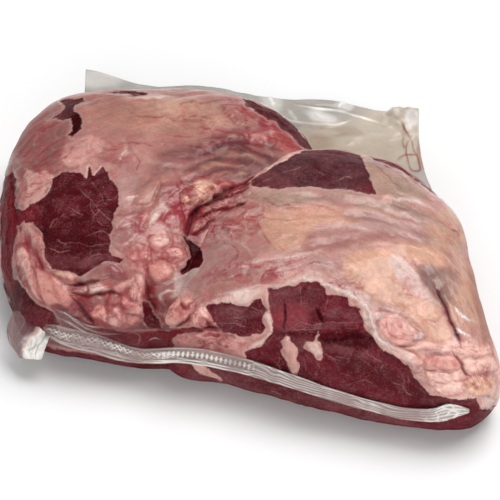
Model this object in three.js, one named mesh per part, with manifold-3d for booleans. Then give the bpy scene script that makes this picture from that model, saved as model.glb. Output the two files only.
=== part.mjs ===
// A clear shrink bag of two raw beef cheeks, lying flat, in millimetres, +Z up.
// The bag is one solid: the film clings to both cheeks, its front seal runs along the front edge at
// mid-height, an empty ear sticks out of the front left corner, and the empty tail of the bag lies
// behind. X runs along the front edge, to the right, and Y runs from the front seal to the tail.
import * as THREE from "three";
import { mergeVertices } from "three/addons/utils/BufferGeometryUtils.js";
import { ImprovedNoise } from "three/addons/math/ImprovedNoise.js";
import Module from "manifold-3d";

// Driving dimensions.
const DRAWING_CENTRE = [-0.5, 20]; // the middle of the whole outline, in the drawing's own coordinates
const SEAL_HEIGHT = 20; // the widest level of the pack, where the front seal is
const FOOT_DEPTH = 1.2; // how far the underside is pressed flat by the pack's weight
const CHEEK_DETAIL = 15; // rows of facets across each face of the icosahedron behind a cheek
const BOXY_UNDERSIDE = 5; // the sides stand nearly upright from the table to seal height
const UNEVEN_SIZE = 24; // spacing of the broad hollows and swellings in the meat
const UNEVEN_HEIGHT = 1.3;
const TAIL_THICKNESS = 2.4; // two sheets of film with the air between them
const TAIL_WAVE = { length: 62, height: 2.5 };
const TAIL_WAIST = 5; // how far the tail's right edge is drawn in between the cheek and its corner
const SEAL = { width: 7, depth: 5, wave: 0.6, waves: 6 }; // the crimped band against the front
const EAR_THICKNESS = 3;
const EAR_BULGE = 2;

// Each cheek has a rim, its outline seen from above at seal height, and a crown, its highest level.
// boxy is the exponent of its cross-section: 2 is an ellipse, and more is a flatter top with fuller
// sides. It differs between the front, which slopes, and the back, which is steep.
const LEFT_CHEEK = {
  middle: [-52, 4],
  crown: 54,
  boxyFront: 2.3,
  boxyBack: 2.8,
  rim: [
    [-84, -69], [-58, -71], [-30, -69], [-12, -62], [-4, -36], [6, -8], [17, 16], [25, 40],
    [17, 64], [-8, 86], [-40, 89], [-82, 81], [-110, 70], [-123, 47], [-124, 14], [-116, -18],
    [-102, -48],
  ],
};
const RIGHT_CHEEK = {
  middle: [46, -12],
  crown: 56,
  boxyFront: 2.2,
  boxyBack: 2.8,
  rim: [
    [-30, -58], [-16, -69], [6, -69], [32, -72], [60, -74], [90, -73], [116, -67], [124, -52],
    [117, -30], [107, 0], [99, 27], [86, 45], [66, 57], [40, 62], [8, 57], [-18, 36],
    [-32, 9], [-34, -28],
  ],
};

// Folds, lumps and hollows of the meat, each a soft ridge along a path seen from above. A height
// below 0 is a groove, and width is the distance over which the ridge falls to a third.
const FOLDS = [
  // The crease between the cheeks, deepest where a dark gap opens beside the right cheek.
  { path: [[22, 42], [5, 27], [-8, 11], [-18, -7], [-20, -25], [-21, -46]], width: 6, height: -4.5 },
  { path: [[-19, -16], [-20, -24], [-21, -33]], width: 5, height: -4 },
  // The left cheek: two long folds from the crease, then lumps of fat down to the front.
  { path: [[17, 37], [1, 33], [-11, 25], [-22, 15], [-38, -6], [-46, -19]], width: 5, height: -3.5 },
  { path: [[9, 54], [-6, 46], [-15, 35], [-26, 21], [-33, 11]], width: 5, height: -3 },
  { path: [[-5, 70], [-22, 56], [-38, 40], [-52, 26]], width: 6, height: -1.5 },
  { path: [[-30, 62], [-52, 48], [-70, 30]], width: 7, height: 1.5 },
  { path: [[-34, -16], [-29, -3], [-23, 8]], width: 6, height: 3.5 },
  { path: [[-42, -29], [-41, -20], [-38, -11]], width: 6, height: 3.5 },
  { path: [[-30, -43], [-29, -48]], width: 6, height: 3.5 },
  { path: [[-61, -64], [-52, -61], [-44, -59], [-37, -59]], width: 5, height: 3 },
  { path: [[-53, -69], [-45, -69], [-37, -69], [-30, -69]], width: 5, height: 2.5 },
  { path: [[-85, -40], [-83, -49], [-77, -59], [-69, -65]], width: 6, height: 2.5 },
  { path: [[-112, 0], [-102, -31], [-93, -54]], width: 6, height: -2 },
  { path: [[-78, -12], [-72, -26], [-68, -38]], width: 15, height: -2 }, // the bare lean shows here
  // The right cheek: the edge of the fat at the back, the deep fold at the right, the front lumps.
  { path: [[-11, -1], [0, 7], [20, 12], [54, 15], [83, 19]], width: 6, height: 3 },
  { path: [[20, 36], [38, 38], [60, 34]], width: 12, height: -2 },
  { path: [[81, -19], [88, -27], [94, -37], [99, -45], [104, -50]], width: 5, height: -5 },
  { path: [[71, -51], [79, -52], [86, -56], [80, -60]], width: 6, height: 3 },
  { path: [[81, -62], [93, -59], [104, -58]], width: 6, height: 3.5 },
  { path: [[88, -70], [95, -67], [103, -65], [112, -64]], width: 5, height: 3 },
  { path: [[1, -55], [18, -47], [46, -41], [62, -49], [71, -61], [82, -66]], width: 6, height: 2.5 },
  { path: [[-14, -66], [-6, -64], [0, -62], [5, -65]], width: 6, height: 3.5 },
  { path: [[43, -65], [47, -70]], width: 5, height: 2.5 },
];

// The middle line of the front seal, and the two edges of the tail and of the ear.
const SEAL_LINE = [
  [-70, -69, 25], [-50, -73, 22], [-32, -72, 21], [-15, -69, 21], [3, -70, 21], [22, -72, 20],
  [40, -74, 20], [58, -76, 19], [84, -76, 18], [101, -73, 18], [113, -69, 20],
];
const SEAL_END_KNOT = { middle: [110, -71, 20], radii: [7, 4, 4.5] };
const TAIL_ROOT = [
  [-99, 60, 24], [-78, 70, 24], [-40, 78, 24], [-15, 76, 24], [15, 56, 24], [45, 50, 24], [88, 34, 24],
];
const TAIL_EDGE = [
  [-111, 103, 19], [-84, 107, 16], [-52, 110, 14], [-26, 114, 15], [0, 115, 13], [30, 120, 13],
  [57, 117, 16],
];
const TAIL_CORNER_KNOT = { middle: [52, 115, 17], radii: [8, 5, 6] };
const EAR_ROOT = [[-94, -52, 29], [-84, -59, 29], [-68, -64, 27]];
const EAR_EDGE = [[-98, -66, 18], [-88, -79, 14], [-71, -78, 14]];

const noise = new ImprovedNoise();
const along = (points) => new THREE.CatmullRomCurve3(
  points.map(([x, y, z = 0]) => new THREE.Vector3(x, y, z)), false, "centripetal");

// Distance from middle to the rim along each direction, as a function of the angle.
function rimRadius({ rim, middle }) {
  const curve = new THREE.CatmullRomCurve3(
    rim.map(([x, y]) => new THREE.Vector3(x - middle[0], y - middle[1], 0)), true, "centripetal");
  const polar = curve.getPoints(720).map((p) => [Math.atan2(p.y, p.x), Math.hypot(p.x, p.y)]);
  polar.sort((a, b) => a[0] - b[0]);
  return (angle) => {
    let next = polar.findIndex(([a]) => a > angle);
    if (next < 0) next = 0;
    const [a0, r0] = polar[(next + polar.length - 1) % polar.length];
    const [a1, r1] = polar[next];
    const span = (a1 - a0 + 2 * Math.PI) % (2 * Math.PI);
    const share = span > 0 ? ((angle - a0 + 2 * Math.PI) % (2 * Math.PI)) / span : 0;
    return r0 + (r1 - r0) * Math.min(share, 1);
  };
}

// How far the folds lift the skin at a place seen from above.
const foldLines = FOLDS.map(({ path, width, height }) => (
  { points: along(path).getSpacedPoints(path.length * 6), width, height }));
function foldHeight(x, y) {
  let sum = 0;
  for (const { points, width, height } of foldLines) {
    const nearest = Math.min(...points.map((p) => Math.hypot(p.x - x, p.y - y)));
    sum += height * Math.exp(-((nearest / width) ** 2));
  }
  return sum;
}

// A cheek as a closed geometry: the points of a sphere moved out to the rim and up to the crown,
// then pushed along the surface's normal by the folds, which fade out below the seal.
function cheek(shape) {
  const geometry = closed(new THREE.IcosahedronGeometry(1, CHEEK_DETAIL));
  const radius = rimRadius(shape);
  const point = new THREE.Vector3();
  const position = geometry.getAttribute("position");
  for (let i = 0; i < position.count; i++) {
    point.fromBufferAttribute(position, i);
    const flat = Math.hypot(point.x, point.y);
    const angle = Math.atan2(point.y, point.x);
    const back = 0.5 + 0.5 * Math.sin(angle);
    const boxy = point.z < 0
      ? BOXY_UNDERSIDE
      : shape.boxyFront + (shape.boxyBack - shape.boxyFront) * back;
    const norm = (flat ** boxy + Math.abs(point.z) ** boxy) ** (1 / boxy);
    const out = (flat / norm) * radius(angle);
    const rise = point.z / norm;
    const x = shape.middle[0] + out * Math.cos(angle);
    const y = shape.middle[1] + out * Math.sin(angle);
    const uneven = UNEVEN_HEIGHT * noise.noise(x / UNEVEN_SIZE, y / UNEVEN_SIZE, rise);
    const z = rise > 0
      ? SEAL_HEIGHT + rise * (shape.crown - SEAL_HEIGHT + 2 * uneven)
      : SEAL_HEIGHT + rise * (SEAL_HEIGHT + FOOT_DEPTH);
    position.setXYZ(i, x, y, z);
  }
  geometry.computeVertexNormals();
  const normal = new THREE.Vector3();
  for (let i = 0; i < position.count; i++) {
    point.fromBufferAttribute(position, i);
    normal.fromBufferAttribute(geometry.getAttribute("normal"), i);
    const fade = THREE.MathUtils.smoothstep(point.z, SEAL_HEIGHT - 8, SEAL_HEIGHT + 4);
    point.addScaledVector(normal, fade * foldHeight(point.x, point.y));
    position.setXYZ(i, point.x, point.y, point.z);
  }
  return geometry;
}

// A closed slab: place(u, v, w) gives its point for the shares u and v (0 to 1) along and across
// it, and for w (-0.5 to 0.5) through its thickness.
function slab(stepsAlong, stepsAcross, place) {
  const geometry = closed(new THREE.BoxGeometry(1, 1, 1, stepsAlong, stepsAcross, 1));
  const position = geometry.getAttribute("position");
  for (let i = 0; i < position.count; i++) {
    const point = place(position.getX(i) + 0.5, position.getY(i) + 0.5, position.getZ(i));
    position.setXYZ(i, point.x, point.y, point.z);
  }
  return geometry;
}

// The empty end of the bag behind the cheeks, with waves that grow towards its free edge.
function tail() {
  const root = along(TAIL_ROOT);
  const edge = along(TAIL_EDGE);
  return slab(36, 8, (u, v, w) => {
    const point = root.getPoint(u).lerp(edge.getPoint(u), v);
    const phase = (2 * Math.PI * (point.x + 0.6 * point.y)) / TAIL_WAVE.length;
    point.x -= TAIL_WAIST * Math.sin(Math.PI * v) * u ** 6;
    point.z += v * TAIL_WAVE.height * Math.sin(phase) + w * TAIL_THICKNESS;
    return point;
  });
}

// The heat seal: an upright band against the front of the pack, thinner at its two edges and
// slightly wavy along its length.
function frontSeal() {
  const line = along(SEAL_LINE);
  return slab(60, 4, (u, v, w) => {
    const point = line.getPoint(u);
    const thick = SEAL.depth * (0.3 + 0.7 * Math.sin(Math.PI * v));
    point.y -= w * thick + SEAL.wave * Math.sin(SEAL.waves * 2 * Math.PI * u);
    point.z += (v - 0.5) * SEAL.width;
    return point;
  });
}

// The empty corner of the bag in front of the left cheek, folded down at its edge.
function ear() {
  const root = along(EAR_ROOT);
  const edge = along(EAR_EDGE);
  return slab(8, 6, (u, v, w) => {
    const point = root.getPoint(u).lerp(edge.getPoint(u), v);
    point.z += EAR_BULGE * Math.sin(v * Math.PI) - w * EAR_THICKNESS;
    return point;
  });
}

function knot({ middle, radii }) {
  return closed(new THREE.IcosahedronGeometry(1, 2)).scale(...radii).translate(...middle);
}

// Only positions, with shared vertices merged, as a solid needs them.
function closed(geometry) {
  geometry.deleteAttribute("normal");
  geometry.deleteAttribute("uv");
  return mergeVertices(geometry, 1e-4);
}

const wasm = await Module();
wasm.setup();

function solid(geometry) {
  return new wasm.Manifold(new wasm.Mesh({
    numProp: 3,
    vertProperties: geometry.getAttribute("position").array,
    triVerts: new Uint32Array(geometry.index.array),
  }));
}

function toGeometry(manifold) {
  const { vertProperties, triVerts } = manifold.getMesh();
  return new THREE.BufferGeometry()
    .setAttribute("position", new THREE.BufferAttribute(vertProperties, 3))
    .setIndex(new THREE.BufferAttribute(triVerts, 1));
}

const table = new THREE.BoxGeometry(400, 400, 40).translate(0, 0, -20);
const bag = [
  cheek(RIGHT_CHEEK), frontSeal(), ear(), tail(), knot(SEAL_END_KNOT), knot(TAIL_CORNER_KNOT),
].reduce((whole, piece) => whole.add(solid(piece)), solid(cheek(LEFT_CHEEK)))
  .subtract(solid(closed(table)));

const film = new THREE.MeshStandardMaterial({ color: 0xc9938a, roughness: 0.35, metalness: 0 });
const sealedBag = new THREE.Mesh(toGeometry(bag), film);
sealedBag.name = "sealed_bag";
sealedBag.position.set(-DRAWING_CENTRE[0], -DRAWING_CENTRE[1], 0);

const pack = new THREE.Group();
pack.add(sealedBag);
export default pack;
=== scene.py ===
"""A clear shrink bag of two raw beef cheeks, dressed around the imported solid.

The solid sealed_bag is replaced by the two cheeks, the film that clings to them, the bag's front
seal, its folded front corner and its empty tail. Shapes are worked out in millimetres in the same
drawing coordinates as the solid, and moved into the frame, in metres, at the end.
"""

import math

import bmesh
import bpy
import numpy as np
from mathutils import Matrix, Vector
from mathutils.bvhtree import BVHTree


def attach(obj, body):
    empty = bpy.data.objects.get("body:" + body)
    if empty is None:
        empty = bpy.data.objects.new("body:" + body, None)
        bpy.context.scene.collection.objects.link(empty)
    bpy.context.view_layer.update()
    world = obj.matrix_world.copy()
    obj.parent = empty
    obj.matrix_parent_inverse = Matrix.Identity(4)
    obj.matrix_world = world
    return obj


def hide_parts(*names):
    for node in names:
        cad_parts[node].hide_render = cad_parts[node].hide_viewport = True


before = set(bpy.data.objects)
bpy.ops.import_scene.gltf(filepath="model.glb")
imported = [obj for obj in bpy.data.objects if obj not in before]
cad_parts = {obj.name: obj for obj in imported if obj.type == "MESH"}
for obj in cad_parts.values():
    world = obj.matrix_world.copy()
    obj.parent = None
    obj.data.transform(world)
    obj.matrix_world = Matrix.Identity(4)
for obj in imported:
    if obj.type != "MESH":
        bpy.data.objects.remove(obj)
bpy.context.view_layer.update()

MM = 0.001
DRAWING_CENTRE = np.array([-0.5, 20.0, 0.0])  # the middle of the outline, as in the solid

# The photograph's view: where the camera stands, in the drawing's own coordinates.
PHOTO_SIZE = 500
VIEW_AZIMUTH = math.radians(14)
VIEW_ELEVATION = math.radians(46)
VIEW_DISTANCE = 900.0
VIEW_TARGET = np.array([0.0, 0.0, 22.0])
FOCAL_PIXELS = 1960.0
SENSOR = 36.0
PIXELS_PER_MM = FOCAL_PIXELS / VIEW_DISTANCE

VIEW_RIGHT = np.array([math.cos(VIEW_AZIMUTH), math.sin(VIEW_AZIMUTH), 0.0])
VIEW_BACK = np.array([
    math.sin(VIEW_AZIMUTH) * math.cos(VIEW_ELEVATION),
    -math.cos(VIEW_AZIMUTH) * math.cos(VIEW_ELEVATION),
    math.sin(VIEW_ELEVATION),
])
VIEW_UP = np.cross(VIEW_BACK, VIEW_RIGHT)
EYE = VIEW_TARGET + VIEW_BACK * VIEW_DISTANCE

# ---------------------------------------------------------------- sizes of the pack, in millimetres
SEAL_HEIGHT = 20.0  # the widest level of the pack, where the front seal is
FOOT_DEPTH = 1.2  # how far the underside is pressed flat by the pack's weight
BOXY_UNDERSIDE = 5.0
CUTS = 127  # the cuts across each face of the cube behind a cheek: 196,608 triangles in all
TOP_SHARE = 0.4  # how far the cube's rows are drawn up, in radians, so that the top is finest

LEFT_RIM = [
    (-84, -69), (-58, -71), (-30, -69), (-12, -62), (-4, -36), (6, -8), (17, 16), (25, 40),
    (17, 64), (-8, 86), (-40, 89), (-82, 81), (-110, 70), (-123, 47), (-124, 14), (-116, -18),
    (-102, -48),
]
RIGHT_RIM = [
    (-30, -58), (-16, -69), (6, -69), (32, -72), (60, -74), (90, -73), (116, -67), (124, -52),
    (117, -31), (104, 0), (95, 26), (82, 43), (65, 56), (40, 62), (8, 57), (-18, 36),
    (-32, 9), (-34, -28),
]

# ---------------------------------------------------------------- tones, as sRGB hex
TONES = {
    "tan": "ad7c6c",  # fat seen through clinging film, warm
    "cream": "c89d86",
    "rose": "a8756d",  # fat flushed with blood
    "rose_red": "a6534f",
    "red": "9a2f39",
    "dusky": "8c5f5a",  # thin fat with the lean showing through
    "mauve": "996d6a",
    "umber": "5c3234",  # the shaded bottom of a fold
    "ash": "a27a75",  # the grey membrane
    # painted shade: the grey in the grooves and down the deep fold
    "dove": "8f7069",
    "lavender": "b78e87",
    "pink_fat": "c4948a",
    "peach": "cb9a84",
    "peach_bright": "d8a78e",
    "chalk": "dcbfb5",  # dry white fat
    # painted highlight: the white glints of the film, used for the bright folds on the fat
    "snow": "ecdcd6",
    "putty": "a98b7b",
    "blush": "e4b0a5",
    "petal": "f6c8ba",
    "apricot": "f0c2a4",
    "coral": "d09084",
    "salmon": "e0a094",
    "clay": "a6746b",
    "liver": "784648",
    "crimson": "8b2330",  # blood between the lobes
    "blood": "6a121d",
    # the darkest blood, and in the deep creases painted shade as well
    "blood_dark": "42080f",
    "burgundy": "4a0c14",  # lean meat
    "lean_red": "611a24",
    "lean_brown": "4f2a2e",
    "lean_mauve": "6e3b3f",
    "lean_rose": "80343c",
    "lean_dark": "340309",
    "side": "4c0e16",
    "film_grey": "b0a9a1",  # two sheets of film together
    "film_cream": "d0c0ad",
    "film_warm": "b39780",
    # the white of creased film, and painted highlights on the film
    "film_white": "f4efe9",
    "film_shade": "8d8178",
    "film_seal": "b59e9a",
    "film_flap": "866064",
    "film_ash": "957674",
    "film_deep": "701c26",
    "film_rose": "b9827a",
    "film_blood": "8e3a2a",
    "film_veil": "8c343c",
}


def linear(hex_colour):
    """An sRGB hex colour as linear red, green and blue."""
    parts = [int(hex_colour[i:i + 2], 16) / 255 for i in (0, 2, 4)]
    return [p / 12.92 if p <= 0.04045 else ((p + 0.055) / 1.055) ** 2.4 for p in parts]


def tone(name):
    return np.array(linear(TONES[name]))


# ---------------------------------------------------------------- small maths
def smooth(low, high, value):
    share = np.clip((value - low) / (high - low), 0, 1)
    return share * share * (3 - 2 * share)


def thin_line(distance, width):
    return np.exp(-(distance / width) ** 2)


NOISE_CELLS = 32
NOISE_TABLE = np.random.default_rng(7).uniform(-1, 1, (NOISE_CELLS,) * 3)


def noise(points):
    """Smooth value noise from -1 to 1, with one cell per unit."""
    cell = np.floor(points).astype(int)
    part = points - cell
    part = part * part * (3 - 2 * part)
    total = np.zeros(len(points))
    for dx in (0, 1):
        for dy in (0, 1):
            for dz in (0, 1):
                corner = (cell + (dx, dy, dz)) % NOISE_CELLS
                weight = np.abs(1 - dx - part[:, 0]) * np.abs(1 - dy - part[:, 1])
                weight = weight * np.abs(1 - dz - part[:, 2])
                total += weight * NOISE_TABLE[corner[:, 0], corner[:, 1], corner[:, 2]]
    return total


def curve_points(corners, closed=False, steps=16):
    """A smooth line through the corners: a centripetal Catmull-Rom curve."""
    p = np.array(corners, float)
    count = len(p)
    if closed:
        p = np.vstack([p[-1], p, p[0], p[1]])
    else:
        p = np.vstack([2 * p[0] - p[1], p, 2 * p[-1] - p[-2]])
        count -= 1
    line = []
    for k in range(count):
        a, b, c, d = p[k:k + 4]
        knots = np.cumsum([0] + [max(np.linalg.norm(q - r) ** 0.5, 1e-6)
                                 for q, r in ((b, a), (c, b), (d, c))])
        for t in np.linspace(knots[1], knots[2], steps, endpoint=False):
            def blend(q, r, low, high):
                return ((high - t) * q + (t - low) * r) / (high - low)
            ab = blend(a, b, knots[0], knots[1])
            bc = blend(b, c, knots[1], knots[2])
            cd = blend(c, d, knots[2], knots[3])
            line.append(blend(blend(ab, bc, knots[0], knots[2]),
                              blend(bc, cd, knots[1], knots[3]), knots[1], knots[2]))
    if not closed:
        line.append(p[-2])
    return np.array(line)


def along(line, share):
    """Points at even shares of a line's length."""
    length = np.concatenate([[0], np.cumsum(np.linalg.norm(np.diff(line, axis=0), axis=1))])
    at = share * length[-1]
    return np.column_stack([np.interp(at, length, line[:, k]) for k in range(line.shape[1])])


def line_distance(places, line):
    """The distance from each place to a line, its side of the line, and how far along it is."""
    nearest = np.full(len(places), 1e9)
    side = np.ones(len(places))
    share = np.zeros(len(places))
    for k, (a, b) in enumerate(zip(line[:-1], line[1:])):
        span = b - a
        away = places - a
        at = np.clip((away @ span) / max(span @ span, 1e-9), 0, 1)
        distance = np.hypot(*(away - at[:, None] * span).T)
        closer = distance < nearest
        nearest[closer] = distance[closer]
        side[closer] = np.sign(span[0] * away[closer, 1] - span[1] * away[closer, 0] + 1e-9)
        share[closer] = (k + at[closer]) / (len(line) - 1)
    return nearest, side, share


def close_to(places, corners, reach):
    low, high = np.min(corners, axis=0) - reach, np.max(corners, axis=0) + reach
    return ((places > low) & (places < high)).all(1)


OUTLINE_REACH = 20.0  # pixels from an outline, and from a line, beyond which it isn't looked for
LINE_REACH = 15.0


def inside_depth(places, corners, reach=OUTLINE_REACH):
    """How far each place is inside a polygon; outside it is below 0, down to -reach."""
    ring = np.array(list(corners) + [corners[0]], float)
    depth = np.full(len(places), -reach)
    close = close_to(places, ring, reach)
    near = places[close]
    x, y = near[:, 0], near[:, 1]
    inside = np.zeros(len(near), bool)
    for (ax, ay), (bx, by) in zip(ring[:-1], ring[1:]):
        if ay != by:
            crosses = (ay > y) != (by > y)
            inside ^= crosses & (x < (bx - ax) * (y - ay) / (by - ay) + ax)
    distance = line_distance(near, ring)[0]
    depth[close] = np.maximum(np.where(inside, distance, -distance), -reach)
    return depth


def in_photo(points):
    """Where points of the drawing are seen in the photograph, in its pixels."""
    away = points - EYE
    depth = -(away @ VIEW_BACK)
    x = PHOTO_SIZE / 2 + FOCAL_PIXELS * (away @ VIEW_RIGHT) / depth
    y = PHOTO_SIZE / 2 - FOCAL_PIXELS * (away @ VIEW_UP) / depth
    return np.column_stack([x, y])


# ---------------------------------------------------------------- what the photograph shows
def with_lines(features):
    """A table of features, with each line or outline read from its x,y pairs."""
    def read(item):
        if isinstance(item, str) and "," in item:
            return [tuple(int(number) for number in pair.split(",")) for pair in item.split()]
        if isinstance(item, (list, tuple)):
            return type(item)(read(part) for part in item)
        return item

    return {key: read(marks) for key, marks in features.items()}
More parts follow.
